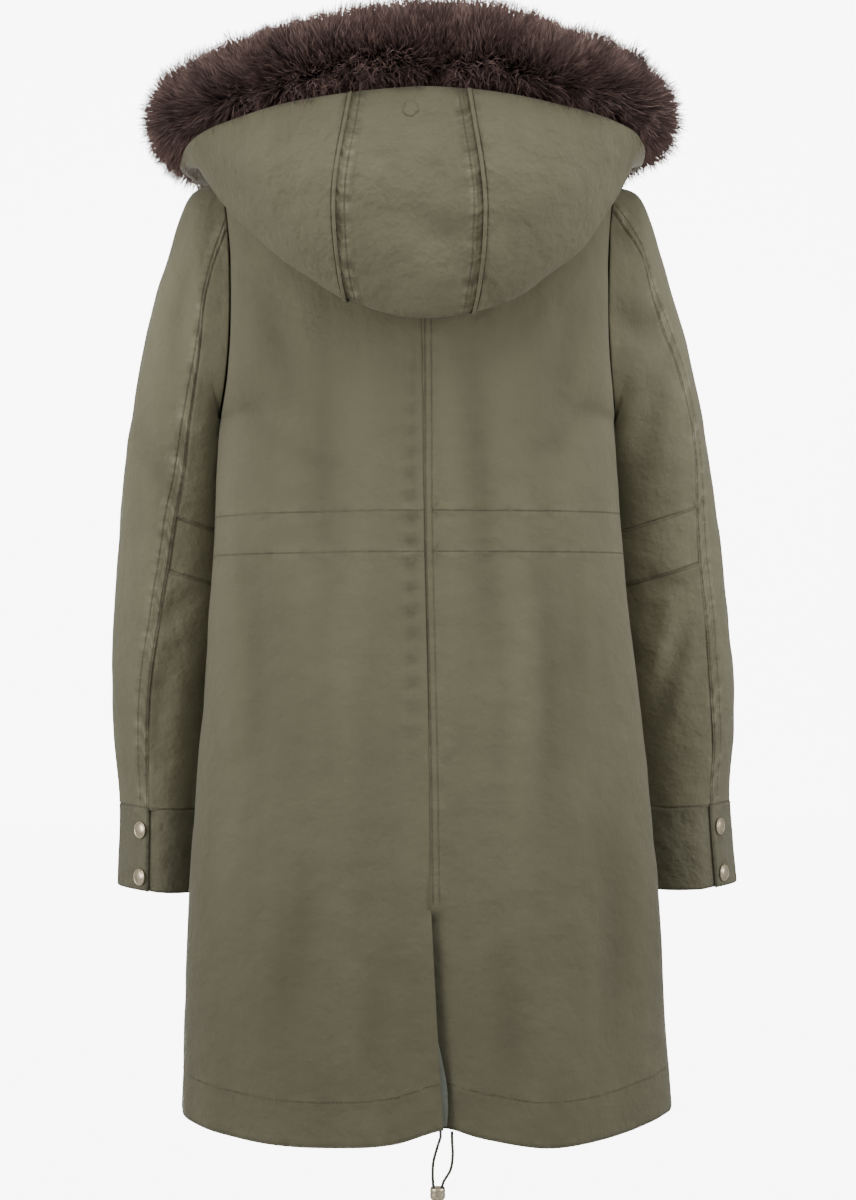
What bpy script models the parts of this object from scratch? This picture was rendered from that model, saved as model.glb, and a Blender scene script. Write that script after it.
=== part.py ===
"""Fur trimmed parka, worn shape with the hood down, as separate sewn pieces.

Metres, +Z up. The origin is at the nape, where the neck seam meets the centre back.
The coat's back faces -Y and its front faces +Y, so +X is the wearer's right.
"""

import math

import bmesh
import bpy
import numpy as np

# Driving dimensions, in metres.
CLOTH = 0.002            # thickness of the twill
SEAM = 0.0006            # opening left between two pieces at a flat seam
SLEEVE_SEAM = 0.0014     # the same on the narrower sleeves
RIDGE_SEAM = 0.0018      # opening where two pieces meet at an angle
HEM_Z = -0.853
UNDERARM_Z = -0.250
CHEST_Z = -0.130         # where the upper back starts to round over to the neck
FRONT_CHEST_Z = -0.155
NECK_HALF_WIDTH = 0.074
NECK_HALF_DEPTH = 0.068
SHOULDER_AZIMUTH = 92.0  # where the shoulder seam meets the neck seam, degrees from the back
NECK_SHARE = 0.5         # share of a panel's top row that lies on the neck seam
SHOULDER_GUIDE = np.array([0.35, 0.10, 0.80])   # how the rows round over from chest to shoulder
SIDE_EASE = 0.14         # share of the side seam that bends in to the underarm point
ROW_LENGTH = 0.20        # a panel's usual row length, which turns its openings into shares
TOP_LENGTH = 0.14        # the same down the panel, from the chest to the shoulder seam
VENT_TOP_Z = -0.662
VENT_SLANT = 0.008       # how far past the centre line the left flap's edge is at the hem
VENT_RISE = 0.010        # height of the step from the flat back to the sunk underlap
VENT_UNDERLAP = 0.030
VENT_DEPTH = 0.0045      # how far the underlap lies behind the left flap
HOOD_SEAM_LEFT = -1.08   # places of the hood's two long seams, as stations of HOOD
HOOD_SEAM_RIGHT = 0.60
HOOD_SEAM = 0.008        # half the opening of a hood seam, in stations
HOOD_ENDS = 7.0          # the last station each way
HOOD_ROWS = (2, 4, 4, 3)  # rows from the neck to the roll, the fold, the bulge and the fur
PLACKET_FROM, PLACKET_TO = -0.012, 0.043
PLACKET_TOP = 2.62       # the placket's upper end, as a level of the front
PLACKET_OFF = 0.0036     # from the middle of the front's cloth to the middle of the placket's
STUD_RADIUS = 0.0075
STUD_OFF = 0.0009        # from the cloth's face to a stud's flat underside
FRONT_STUDS = 5
FIRST_STUD_Z, STUD_STEP = -0.165, 0.145   # the placket's top stud and the distance to the next
CORD_DIAMETER = 0.0024

UPPER_SEAM_FRONT = -105.0   # the sleeve's front seam, in degrees round the sleeve
INNER_SHARE = 0.65           # of right_out, how much the inner side of the right sleeve moves
SLEEVE_RADIUS = 0.055       # from a sleeve's middle to its wall, which turns openings into degrees
STEP_SEAM = 0.008           # half the opening of a seam across the sleeve, in steps
SLIT_SHARE = 2.6            # the cuff slit's opening over a seam's
ARMHOLE_GAP = (0.0009, 0.0012)   # opening at the shoulder, and what is added by the underarm
CUFF_STUDS = (("upper", 12.30), ("lower", 12.84))   # each stud's name and step
CUFF_STUD_TURN = 17.0       # degrees back from the cuff's overlapping end
CUFF_SINK = (325.0, 30.0)   # where the cuff starts to sink under its overlap, and over how much
CUFF_LAP = 20.0             # degrees of cuff under its own overlap
CUFF_DEPTH = 0.0034         # how far the underlap lies inside the overlap

# Height, half width, y of the widest place, y of the back, y of the front, roundness, centre.
TORSO = (
    "z half_width side_y back_y front_y power centre_x",
    [
        (-0.860, 0.2125, -0.030, -0.150, 0.142, 2.35, 0.0070),
        (-0.754, 0.2070, -0.030, -0.147, 0.141, 2.35, 0.0055),
        (-0.660, 0.2030, -0.030, -0.144, 0.140, 2.35, 0.0048),
        (-0.494, 0.1885, -0.030, -0.139, 0.138, 2.35, 0.0026),
        (-0.346, 0.1760, -0.029, -0.135, 0.136, 2.35, -0.0006),
        (-0.250, 0.1715, -0.022, -0.134, 0.135, 2.35, -0.0012),
        (-0.190, 0.1680, -0.020, -0.134, 0.131, 2.40, -0.0015),
        (-0.130, 0.1650, -0.020, -0.131, 0.123, 2.50, -0.0018),
    ],
)

# Soft folds of the back and front: x, height of the deepest place, half width, half height, depth.
BACK_FOLDS = (
    "x z half_width half_height depth",
    [
        (-0.014, -0.60, 0.020, 0.200, 0.0030),
        (0.050, -0.66, 0.026, 0.210, 0.0035),
        (-0.105, -0.80, 0.040, 0.140, -0.0050),
        (0.110, -0.80, 0.045, 0.150, -0.0060),
        (-0.165, -0.72, 0.022, 0.160, 0.0040),
        (0.165, -0.70, 0.022, 0.170, 0.0035),
    ],
)
FRONT_FOLDS = (
    "x z half_width half_height depth",
    [
        (-0.100, -0.72, 0.035, 0.210, 0.0050),
        (0.112, -0.70, 0.032, 0.230, 0.0055),
        (-0.160, -0.55, 0.024, 0.180, 0.0035),
        (0.165, -0.60, 0.024, 0.170, 0.0035),
    ],
)

# The hem's height above HEM_Z, by x across the back.
HEM_BACK = (
    "x rise",
    [(-0.21, 0.006), (-0.17, -0.001), (-0.09, -0.006), (-0.03, -0.003), (0.012, 0.009),
     (0.05, 0.000), (0.10, -0.008), (0.15, -0.005), (0.21, 0.006)],
)

HEM_RISE_FRONT = 0.006

# Sleeve sections from the armhole (0) to the cuff's lower edge (13). Outer and inner points in
# x and z, y of the middle, half depth, how far the back outer corner is drawn in, the back seam's
# place in degrees round each sleeve, and how much further out the right sleeve hangs.
SLEEVE = (
    "step outer_x outer_z inner_x inner_z middle_y half_depth corner seam seam_right right_out",
    [
        (0, 0.1720, -0.041, 0.1715, -0.250, 0.000, 0.057, 0.000, 60, 46, 0.000),
        (1, 0.1985, -0.053, 0.1765, -0.259, 0.007, 0.060, 0.000, 92, 66, 0.000),
        (2, 0.2170, -0.101, 0.1752, -0.269, 0.016, 0.063, 0.000, 99, 69, 0.000),
        (3, 0.2325, -0.149, 0.1738, -0.282, 0.024, 0.065, 0.000, 101, 62, -0.001),
        (4, 0.2425, -0.194, 0.1740, -0.298, 0.031, 0.065, 0.000, 101, 57, 0.002),
        (5, 0.2505, -0.238, 0.1735, -0.313, 0.037, 0.065, 0.001, 101, 54, 0.005),
        (6, 0.2570, -0.279, 0.1726, -0.331, 0.042, 0.064, 0.002, 99, 56, 0.007),
        (7, 0.2615, -0.317, 0.1724, -0.349, 0.046, 0.063, 0.003, 95, 62, 0.009),
        (8, 0.2650, -0.366, 0.1747, -0.396, 0.050, 0.061, 0.005, 91, 66, 0.013),
        (9, 0.2690, -0.424, 0.1780, -0.444, 0.053, 0.058, 0.007, 86, 65, 0.016),
        (10, 0.2700, -0.478, 0.1830, -0.490, 0.055, 0.055, 0.009, 80, 66, 0.020),
        (11, 0.2690, -0.530, 0.1870, -0.536, 0.057, 0.051, 0.012, 76, 62, 0.022),
        (12, 0.2640, -0.588, 0.1930, -0.592, 0.058, 0.046, 0.016, 71, 56, 0.023),
        (13, 0.2650, -0.663, 0.1940, -0.667, 0.058, 0.045, 0.017, 69, 58, 0.028),
    ],
)
ELBOW_TOP, ELBOW_BOTTOM, SLIT_TOP, CUFF_TOP, CUFF_BOTTOM = 7.0, 8.0, 10.2, 12.0, 13.0

# Height of the neck seam by degrees from the centre back.
NECK_Z = ("azimuth z", [(0, 0.000), (45, 0.004), (90, 0.003), (120, -0.020), (150, -0.056), (180, -0.075)])

# Hood and fur by station, from the centre back (0) to the front end (7): place on the neck seam in
# degrees, the fold at the bottom of the pouch, how far the outer layer bulges out and up from it,
# the middle and radius of the fur, and where round the fur the cloth meets it.
HOOD = (
    "station neck fold_x fold_y fold_z out up fur_x fur_y fur_z fur_radius under",
    [
        (0, 0, 0.000, -0.168, -0.189, 0.043, 0.096, 0.000, -0.175, 0.041, 0.040, 55),
        (1, 26, 0.062, -0.166, -0.172, 0.041, 0.086, 0.054, -0.172, 0.037, 0.040, 55),
        (2, 50, 0.108, -0.152, -0.136, 0.033, 0.063, 0.110, -0.150, 0.028, 0.040, 53),
        (3, 72, 0.151, -0.120, -0.093, 0.022, 0.040, 0.162, -0.106, 0.015, 0.043, 50),
        (4, 92, 0.183, -0.070, -0.044, 0.010, 0.003, 0.193, -0.050, 0.009, 0.042, 74),
        (5, 112, 0.160, 0.004, -0.026, 0.016, -0.0075, 0.192, 0.012, 0.003, 0.037, 84),
        (6, 138, 0.120, 0.080, -0.048, 0.015, -0.014, 0.152, 0.090, -0.015, 0.034, 84),
        (7, 164, 0.052, 0.112, -0.080, 0.012, -0.008, 0.082, 0.131, -0.046, 0.029, 84),
    ],
)
HOOD_LIFT = 0.0058        # height of the hood's neck edge over the coat's
HOOD_ROLL = 0.030         # how far the hood runs out from the neck before it falls
HOOD_RISE = 0.016         # how far it rises there
FUR_OFF = 0.0046          # from the fur to the middle of the cloth at its edge
# The fur's rounded ends: how far on, and how thick, as shares of its last radius.
FUR_END = ((0.45, 0.90), (0.80, 0.60), (0.96, 0.28))

# The two cord ends, from the hem to the metal end: x, y, z.
CORD_LEFT = [(0.0122, -0.1500, -0.8490), (0.0087, -0.1500, -0.8600), (0.0062, -0.1500, -0.8700),
             (0.0057, -0.1500, -0.8810), (0.0065, -0.1500, -0.8925)]
CORD_RIGHT = [(0.0217, -0.1500, -0.8530), (0.0222, -0.1500, -0.8640), (0.0204, -0.1500, -0.8760),
              (0.0146, -0.1500, -0.8860), (0.0128, -0.1500, -0.8925)]
CORD_END = (0.0098, -0.1500, -0.9010)

OLIVE = ("olive_twill", (0.150, 0.136, 0.092), 0.85, 0.0)
OLIVE_DARK = ("olive_twill_hem", (0.115, 0.107, 0.072), 0.85, 0.0)
FUR = ("brown_fur", (0.030, 0.019, 0.017), 0.9, 0.0)
BRASS = ("antique_brass", (0.36, 0.29, 0.19), 0.35, 1.0)
CORD_GREEN = ("green_cord", (0.045, 0.045, 0.034), 0.8, 0.0)


class Table:
    """Rows of named sizes, read between rows along a smooth curve."""

    def __init__(self, spec):
        names, rows = spec
        self.names = names.split()
        self.rows = np.array(rows, float)

    def at(self, name, key):
        """The named column where the first column has the value key."""
        x, y = self.rows[:, 0], self.rows[:, self.names.index(name)]
        key = np.clip(np.asarray(key, float), x[0], x[-1])
        slope = np.gradient(y, x)
        i = np.clip(np.searchsorted(x, key) - 1, 0, len(x) - 2)
        width = x[i + 1] - x[i]
        t = (key - x[i]) / width
        return (
            y[i] * (1 + 2 * t) * (1 - t) ** 2
            + slope[i] * width * t * (1 - t) ** 2
            + y[i + 1] * t * t * (3 - 2 * t)
            + slope[i + 1] * width * t * t * (t - 1)
        )


def mirrored(spec, odd):
    """The same rows on both sides of key 0, the named columns changing sign."""
    names, rows = spec
    sign = [-1 if name in odd else 1 for name in names.split()]
    other = [tuple(s * value for s, value in zip(sign, row)) for row in reversed(rows[1:])]
    return names, other + list(rows)


torso = Table(TORSO)
sleeve = Table(SLEEVE)
hem_back = Table(HEM_BACK)
neck_z = Table(NECK_Z)
hood = Table(mirrored(HOOD, odd=("station", "neck", "fold_x", "fur_x")))
back_folds = Table(BACK_FOLDS)
front_folds = Table(FRONT_FOLDS)


def power_of(value, exponent):
    """value to a power, keeping its sign."""
    return np.sign(value) * np.abs(value) ** exponent


def unit(v):
    return v / np.linalg.norm(v, axis=-1, keepdims=True)


def even(points, fractions):
    """Points at the given fractions of a polyline's length."""
    steps = np.linalg.norm(np.diff(points, axis=0), axis=1)
    along = np.concatenate([[0.0], np.cumsum(steps)])
    at = np.asarray(fractions) * along[-1]
    return np.stack([np.interp(at, along, points[:, k]) for k in range(3)], axis=1)


def smooth_line(points, counts):
    """Points along a smooth curve through the given ones, counts[i] steps between two of them."""
    points = np.array(points, float)
    key = np.concatenate([[0.0], np.cumsum(np.linalg.norm(np.diff(points, axis=0), axis=1) ** 0.5)])
    curve = Table(("key x y z", np.column_stack([key, points])))
    at = [np.linspace(a, b, count, endpoint=False) for a, b, count in zip(key, key[1:], counts)]
    at = np.append(np.concatenate(at), key[-1])
    return np.stack([curve.at(name, at) for name in "xyz"], axis=1)


# Sleeves and armholes

def sleeve_ring(step, angle, side):
    """A point of a sleeve. Angle 0 is the outer side, 90 the back, 180 next to the body."""
    read = {name: sleeve.at(name, step) for name in sleeve.names}
    turn = math.radians(angle)
    power = 2 / 2.25
    across, deep = power_of(math.cos(turn), power), power_of(math.sin(turn), power)
    out = read["right_out"] if side > 0 else 0.0
    outer_x, inner_x = read["outer_x"] + out, read["inner_x"] + INNER_SHARE * out
    half_x = (outer_x - inner_x) / 2
    half_z = (read["outer_z"] - read["inner_z"]) / 2
    # Near the armhole the section bows in towards the body between shoulder and underarm.
    bow = max(0.0, 1 - step) * (0.010 if deep > 0 else 0.018) * deep * deep
    x = (outer_x + inner_x) / 2 + half_x * across - bow
    x -= read["corner"] * max(0.0, deep) * max(0.0, across)
    y = read["middle_y"] - read["half_depth"] * deep
    z = (read["outer_z"] + read["inner_z"]) / 2 + half_z * across
    return np.array([side * x, y, z])


def seam_angle(step, side):
    """Where the back seam runs, in degrees round the sleeve."""
    return float(sleeve.at("seam_right" if side > 0 else "seam", step))


def armhole(angle, side):
    return sleeve_ring(0.0, angle, side)


def sleeve_point(step, angle, side):
    """As sleeve_ring, with the sleeve's first section set off from the armhole."""
    point = sleeve_ring(step, angle, side)
    gap = ARMHOLE_GAP[0] + ARMHOLE_GAP[1] * (1 - math.cos(math.radians(angle)))
    point[0] += side * gap * max(0.0, 1 - step)
    return point


# Torso

def neck_point(azimuth):
    """A point of the neck seam, in signed degrees from the centre back."""
    turn = math.radians(azimuth)
    y = 0.002 - NECK_HALF_DEPTH * math.cos(turn)
    return np.array([NECK_HALF_WIDTH * math.sin(turn), y, float(neck_z.at("z", abs(azimuth)))])


def quarter(centre, edge, power, fractions):
    """An even run of points round a quarter from the centre line to the side."""
    turn = np.linspace(0, math.pi / 2, 60)
    x = np.sin(turn) ** (2 / power)
    y = np.cos(turn) ** (2 / power)
    points = np.stack(
        [
            centre[0] + (edge[0] - centre[0]) * x,
            edge[1] + (centre[1] - edge[1]) * y,
            centre[2] + (edge[2] - centre[2]) * x * x,
        ],
        axis=1,
    )
    return even(points, fractions)


def top_line(back, side, fractions):
    """The neck seam from the centre to the shoulder, then the shoulder seam to the armhole."""
    start = 0.0 if back else 180.0
    neck = np.array([neck_point(side * a) for a in np.linspace(start, SHOULDER_AZIMUTH, 30)])
    shoulder = np.linspace(neck[-1], armhole(0.0, side), 20)
    fractions = np.asarray(fractions)
    on_neck = even(neck, np.clip(fractions / NECK_SHARE, 0, 1))
    on_shoulder = even(shoulder, np.clip((fractions - NECK_SHARE) / (1 - NECK_SHARE), 0, 1))
    return np.where(fractions[:, None] <= NECK_SHARE, on_neck, on_shoulder)


def rounded(base, top, t):
    """Points a share t of the way from the chest, over the curve to the shoulder."""
    guide = base + (top - base) * SHOULDER_GUIDE
    return (1 - t) ** 2 * base + 2 * t * (1 - t) * guide + t * t * top


def torso_row(back, side, level, fractions):
    """A row of a panel: level 0 hem, 1 underarm, 2 chest, 3 neck and shoulder seams."""
    face = "back_y" if back else "front_y"
    power = float(torso.at("power", HEM_Z))
    if level <= 1:
        z = HEM_Z + (UNDERARM_Z - HEM_Z) * level
        centre_x = float(torso.at("centre_x", z))
        centre = np.array([centre_x, float(torso.at(face, z)), z])
        half_width = float(torso.at("half_width", z))
        edge = np.array([centre_x + side * half_width, float(torso.at("side_y", z)), z])
        join = armhole(180.0, side)
        edge += (join - edge) * max(0.0, (level - 1 + SIDE_EASE) / SIDE_EASE) ** 2
        return quarter(centre, edge, power, fractions)
    turn = 1 if back else -1
    low = CHEST_Z if back else FRONT_CHEST_Z
    if level <= 2:
        t = level - 1
        z = UNDERARM_Z + (low - UNDERARM_Z) * t
        centre = np.array([float(torso.at("centre_x", z)), float(torso.at(face, z)), z])
        return quarter(centre, armhole(turn * (180.0 - 90.0 * t), side), power, fractions)
    t = level - 2
    base = torso_row(back, side, 2.0, fractions)
    top = top_line(back, side, fractions)
    points = rounded(base, top, t)
    last = rounded(armhole(turn * 90.0, side), armhole(0.0, side), t)
    full = armhole(turn * 90.0 * (1 - t), side)
    return points + (full - last) * (np.asarray(fractions)[:, None] ** 3)


def folded(points, back, fractions):
    """Moves the points of a row out and in by the panel's soft folds and lets the hem wave."""
    still = 1 - np.asarray(fractions) ** 6
    folds = back_folds if back else front_folds
    face = -1.0 if back else 1.0
    moved = points.copy()
    for x, z, half_width, half_height, depth in folds.rows:
        across = np.exp(-(((points[:, 0] - x) / half_width) ** 2))
        tall = np.exp(-(((points[:, 2] - z) / half_height) ** 2))
        moved[:, 1] -= face * depth * across * tall * still
    low = np.clip((UNDERARM_Z - points[:, 2]) / (UNDERARM_Z - HEM_Z), 0, 1) ** 6
    moved[:, 2] += low * (hem_back.at("rise", points[:, 0]) if back else HEM_RISE_FRONT)
    return moved


def panel_rows(back, side, levels, columns, start=SEAM / 2):
    """The grid of a torso panel, from the centre line to the side seam and armhole."""
    rows = []
    for level in levels:
        end = SEAM / 2 if level <= 1 else 0.0
        fractions = np.linspace(start / ROW_LENGTH, 1 - end / ROW_LENGTH, columns + 1)
        rows.append(folded(torso_row(back, side, level, fractions), back, fractions))
    return np.array(rows)


def panel_levels(lower=14, armhole_rows=4, top=5):
    """Levels of a panel's rows, ending just short of the shoulder seam."""
    last = 3 - RIDGE_SEAM / 2 / TOP_LENGTH
    return np.concatenate(
        [
            np.linspace(0, 1, lower + 1)[:-1],
            np.linspace(1, 2, armhole_rows + 1)[:-1],
            np.linspace(2, last, top + 1),
        ]
    )


def level_of(z):
    """The level of a height below the underarm."""
    return (z - HEM_Z) / (UNDERARM_Z - HEM_Z)


def front_level(z):
    """The level of a height on the centre front, up to the chest."""
    return level_of(z) if z < UNDERARM_Z else 1 + (z - UNDERARM_Z) / (FRONT_CHEST_Z - UNDERARM_Z)


# Meshes

def material(finish):
    """A material with a Principled shader, made once for each finish."""
    name, colour, roughness, metallic = finish
    found = bpy.data.materials.get(name)
    if found:
        return found
    made = bpy.data.materials.new(name)
    made.use_nodes = True
    shader = made.node_tree.nodes["Principled BSDF"]
    shader.inputs["Base Color"].default_value = (*colour, 1.0)
    shader.inputs["Roughness"].default_value = roughness
    shader.inputs["Metallic"].default_value = metallic
    made.diffuse_color = (*colour, 1.0)
    return made


def mesh_object(name, mesh, finish, collection):
    made = bpy.data.objects.new(name, mesh)
    made.data.materials.append(material(finish))
    collection.objects.link(made)
    return made


def cloth(name, grid, finish, collection, thickness=CLOTH):
    """A grid of points as a wall of cloth, half its thickness to each side."""
    rows, columns = grid.shape[:2]
    mesh = bpy.data.meshes.new(name)
    shape = bmesh.new()
    verts = [[shape.verts.new(point) for point in row] for row in grid]
    for i in range(rows - 1):
        for j in range(columns - 1):
            shape.faces.new((verts[i][j], verts[i][j + 1], verts[i + 1][j + 1], verts[i + 1][j]))
    shape.to_mesh(mesh)
    shape.free()
    mesh.shade_smooth()
    made = mesh_object(name, mesh, finish, collection)
    wall = made.modifiers.new("thickness", "SOLIDIFY")
    wall.thickness = thickness
    wall.offset = 0.0
    return made


def tube(name, points, radii, finish, collection, resolution=2):
    """A closed tube along points, a radius at each."""
    curve = bpy.data.curves.new(name, "CURVE")
    curve.dimensions = "3D"
    curve.bevel_depth = 1.0
    curve.bevel_resolution = resolution
    curve.use_fill_caps = True
    line = curve.splines.new("POLY")
    line.points.add(len(points) - 1)
    for point, place, radius in zip(line.points, points, radii):
        point.co = (*place, 1.0)
        point.radius = radius
    made = bpy.data.objects.new(name, curve)
    made.data.materials.append(material(finish))
    collection.objects.link(made)
    return made


def turned(name, profile, finish, collection, steps=20):
    """A turned piece from its profile of radius and height, outer side first, top to bottom."""
    mesh = bpy.data.meshes.new(name)
    shape = bmesh.new()
    verts = [shape.verts.new((radius, 0.0, height)) for radius, height in profile]
    for a, b in zip(verts, verts[1:]):
        shape.edges.new((a, b))
    shape.to_mesh(mesh)
    shape.free()
    made = mesh_object(name, mesh, finish, collection)
    screw = made.modifiers.new("turn", "SCREW")
    screw.axis = "Z"
    screw.steps = steps
    screw.render_steps = steps
    screw.use_merge_vertices = True
    screw.merge_threshold = 0.00005
    return made


def place(made, where, normal):
    """Puts a turned piece at a point with its axis along a direction."""
    made.location = where
    direction = np.array(normal) / np.linalg.norm(normal)
    tilt = math.acos(max(-1.0, min(1.0, direction[2])))
    turn = math.atan2(direction[1], direction[0])
    made.rotation_euler = (0.0, tilt, turn)


# Pieces

def make_back_left(collection):
    """The left back. Below the vent's top its edge runs on past the centre line."""
    vent = level_of(VENT_TOP_Z)
    levels = np.sort(np.append(panel_levels(), vent))
    grid = panel_rows(True, -1, levels, 8)
    slant = VENT_SLANT * np.clip((vent - levels) / vent, 0, 1)
    grid[:, :, 0] += slant[:, None] * np.linspace(1, 0, grid.shape[1]) ** 4
    cloth("back_left", grid, OLIVE, collection)


def make_back_right(collection):
    """The right back, with the vent's underlap sunk behind the left flap."""
    vent = level_of(VENT_TOP_Z)
    rise = VENT_RISE / (UNDERARM_Z - HEM_Z)
    levels = panel_levels()
    kept = levels[(levels < vent - 2.4 * rise) | (levels > vent + 0.2 * rise)]
    levels = np.sort(np.concatenate([kept, [vent, vent - rise, vent - 2 * rise]]))
    grid = []
    for level, row in zip(levels, panel_rows(True, 1, levels, 8)):
        if level > vent:
            lap = [row[0] + (row[1] - row[0]) * share for share in (0.0, 0.05, 0.10, 0.16)]
        else:
            slant = VENT_SLANT * (vent - level) / vent
            full = level < vent - 1.5 * rise
            under = VENT_UNDERLAP if full else 0.0
            sunk = VENT_DEPTH * min(1.0, (vent - level) / rise)
            shifts = (-under, 0.0008 - 0.55 * under, 0.0015 + slant / 2, 0.004 + slant)
            lap = [row[0] + np.array([shift, sunk, 0.0]) for shift in shifts]
        grid.append([*lap, *row[1:]])
    cloth("back_right", np.array(grid), OLIVE, collection)


def make_front(collection):
    for side, name in ((-1, "front_left"), (1, "front_right")):
        cloth(name, panel_rows(False, side, panel_levels(), 8, RIDGE_SEAM / 3), OLIVE, collection)


def centre_front(level, x):
    """A point of the front near its centre line, at a given x."""
    side = 1 if x >= 0 else -1
    fractions = np.linspace(0, 0.4, 30)
    row = folded(torso_row(False, side, level, fractions), False, fractions)
    order = np.argsort(row[:, 0])
    y = np.interp(x, row[order, 0], row[order, 1])
    z = np.interp(x, row[order, 0], row[order, 2])
    return np.array([x, y, z])


def make_placket(collection):
    runs = [np.linspace(0.006, 1, 15)[:-1], np.linspace(1, 2, 4)[:-1], np.linspace(2, PLACKET_TOP, 5)]
    levels = np.concatenate(runs)
    xs = np.linspace(PLACKET_FROM, PLACKET_TO, 4)
    grid = np.array([[centre_front(level, x) for x in xs] for level in levels])
    across = np.gradient(grid, axis=1)
    along = np.gradient(grid, axis=0)
    out = unit(np.cross(along, across))
    out *= np.sign(out[:, :, 1:2])
    cloth("front_placket", grid + PLACKET_OFF * out, OLIVE, collection)
    for number in range(FRONT_STUDS):
        level = front_level(FIRST_STUD_Z - STUD_STEP * number)
        middle = centre_front(level, (PLACKET_FROM + PLACKET_TO) / 2)
        stud = press_stud(f"front_stud_{number + 1}", collection)
        place(stud, middle + np.array([0, PLACKET_OFF + CLOTH / 2 + STUD_OFF, 0]), (0, 1, 0))


def make_sleeve(side, name, collection):
    front = UPPER_SEAM_FRONT
    opening = math.degrees(SLEEVE_SEAM / SLEEVE_RADIUS)

    def patch(first, last, rows, start, end, columns):
        grid = []
        for step in np.linspace(first, last, rows + 1):
            seam = seam_angle(step, side)
            slit = opening * (SLIT_SHARE if step > SLIT_TOP else 1.0)
            low, high = start(seam, slit), end(seam, slit)
            grid.append([sleeve_point(step, a, side) for a in np.linspace(low, high, columns + 1)])
        return np.array(grid)

    last = CUFF_TOP - STEP_SEAM
    upper = patch(0.0, last, 14, lambda s, o: front + opening / 2, lambda s, o: s - o / 2, 9)
    cloth(f"{name}_upper", upper, OLIVE, collection)
    runs = (
        ("under_top", 0.0, ELBOW_TOP - STEP_SEAM, 8),
        ("elbow", ELBOW_TOP + STEP_SEAM, ELBOW_BOTTOM - STEP_SEAM, 2),
        ("under_bottom", ELBOW_BOTTOM + STEP_SEAM, CUFF_TOP - STEP_SEAM, 5),
    )
    for part, first, last, rows in runs:
        under = patch(first, last, rows, lambda s, o: s + o / 2, lambda s, o: 360 + front - opening / 2, 7)
        cloth(f"{name}_{part}", under, OLIVE, collection)


def cuff_point(step, turn, side):
    """A point of the cuff band, turn in degrees back from its overlapping end."""
    angle = seam_angle(CUFF_TOP, side) - turn
    point = sleeve_ring(step, angle, side)
    ahead = sleeve_ring(step, angle - 1.0, side) - sleeve_ring(step, angle + 1.0, side)
    out = np.array([-side * ahead[1], side * ahead[0], 0.0])
    out = -out / np.linalg.norm(out)
    sunk = np.clip((turn - CUFF_SINK[0]) / CUFF_SINK[1], 0, 1)
    return point - CUFF_DEPTH * (3 * sunk ** 2 - 2 * sunk ** 3) * out, out


def make_cuff(side, name, collection):
    steps = np.linspace(CUFF_TOP + STEP_SEAM, CUFF_BOTTOM, 3)
    turns = np.linspace(0, 360 + CUFF_LAP, 23)
    grid = np.array([[cuff_point(step, turn, side)[0] for turn in turns] for step in steps])
    cloth(name, grid, OLIVE_DARK, collection)
    for stud_name, step in CUFF_STUDS:
        point, out = cuff_point(step, CUFF_STUD_TURN, side)
        stud = press_stud(f"{name}_stud_{stud_name}", collection)
        place(stud, point + out * (CLOTH / 2 + STUD_OFF), out)


def press_stud(name, collection):
    """A low domed cap with a rolled rim and a flat underside."""
    radius = STUD_RADIUS
    profile = [
        (0.0, 0.0026),
        (radius * 0.45, 0.0024),
        (radius * 0.82, 0.0019),
        (radius, 0.0011),
        (radius, 0.0004),
        (radius * 0.9, 0.0),
        (0.0, 0.0),
    ]
    return turned(name, profile, BRASS, collection)


def fur_frame(station):
    """The middle of the fur at a station, its radius and the level direction away from the neck."""
    def middle(at):
        return np.array([float(hood.at(name, at)) for name in ("fur_x", "fur_y", "fur_z")])

    ahead = middle(min(station + 0.1, HOOD_ENDS)) - middle(max(station - 0.1, -HOOD_ENDS))
    out = np.array([ahead[1], -ahead[0], 0.0])
    return middle(station), float(hood.at("fur_radius", station)), unit(out)


def hood_profile(station):
    """The hood's cloth at a station, from the neck seam round the pouch to the fur."""
    read = {name: float(hood.at(name, station)) for name in hood.names}
    neck = neck_point(read["neck"]) + np.array([0, 0, HOOD_LIFT])
    fold = np.array([read["fold_x"], read["fold_y"], read["fold_z"]])
    away = unit((fold - neck) * np.array([1, 1, 0]))
    middle, radius, out = fur_frame(station)
    under = math.radians(read["under"])
    edge = middle + (radius + FUR_OFF) * (math.cos(under) * out - np.array([0, 0, math.sin(under)]))
    bulge = fold + read["out"] * away + np.array([0, 0, read["up"]])
    roll = neck + HOOD_ROLL * away + np.array([0, 0, HOOD_RISE])
    return smooth_line([neck, roll, fold, bulge, edge], HOOD_ROWS)


def make_hood(collection):
    runs = (
        ("hood_left", -HOOD_ENDS, HOOD_SEAM_LEFT - HOOD_SEAM, 10),
        ("hood_centre", HOOD_SEAM_LEFT + HOOD_SEAM, HOOD_SEAM_RIGHT - HOOD_SEAM, 4),
        ("hood_right", HOOD_SEAM_RIGHT + HOOD_SEAM, HOOD_ENDS, 10),
    )
    for name, first, last, columns in runs:
        grid = np.array([hood_profile(station) for station in np.linspace(first, last, columns + 1)])
        cloth(name, grid, OLIVE, collection)


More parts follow.
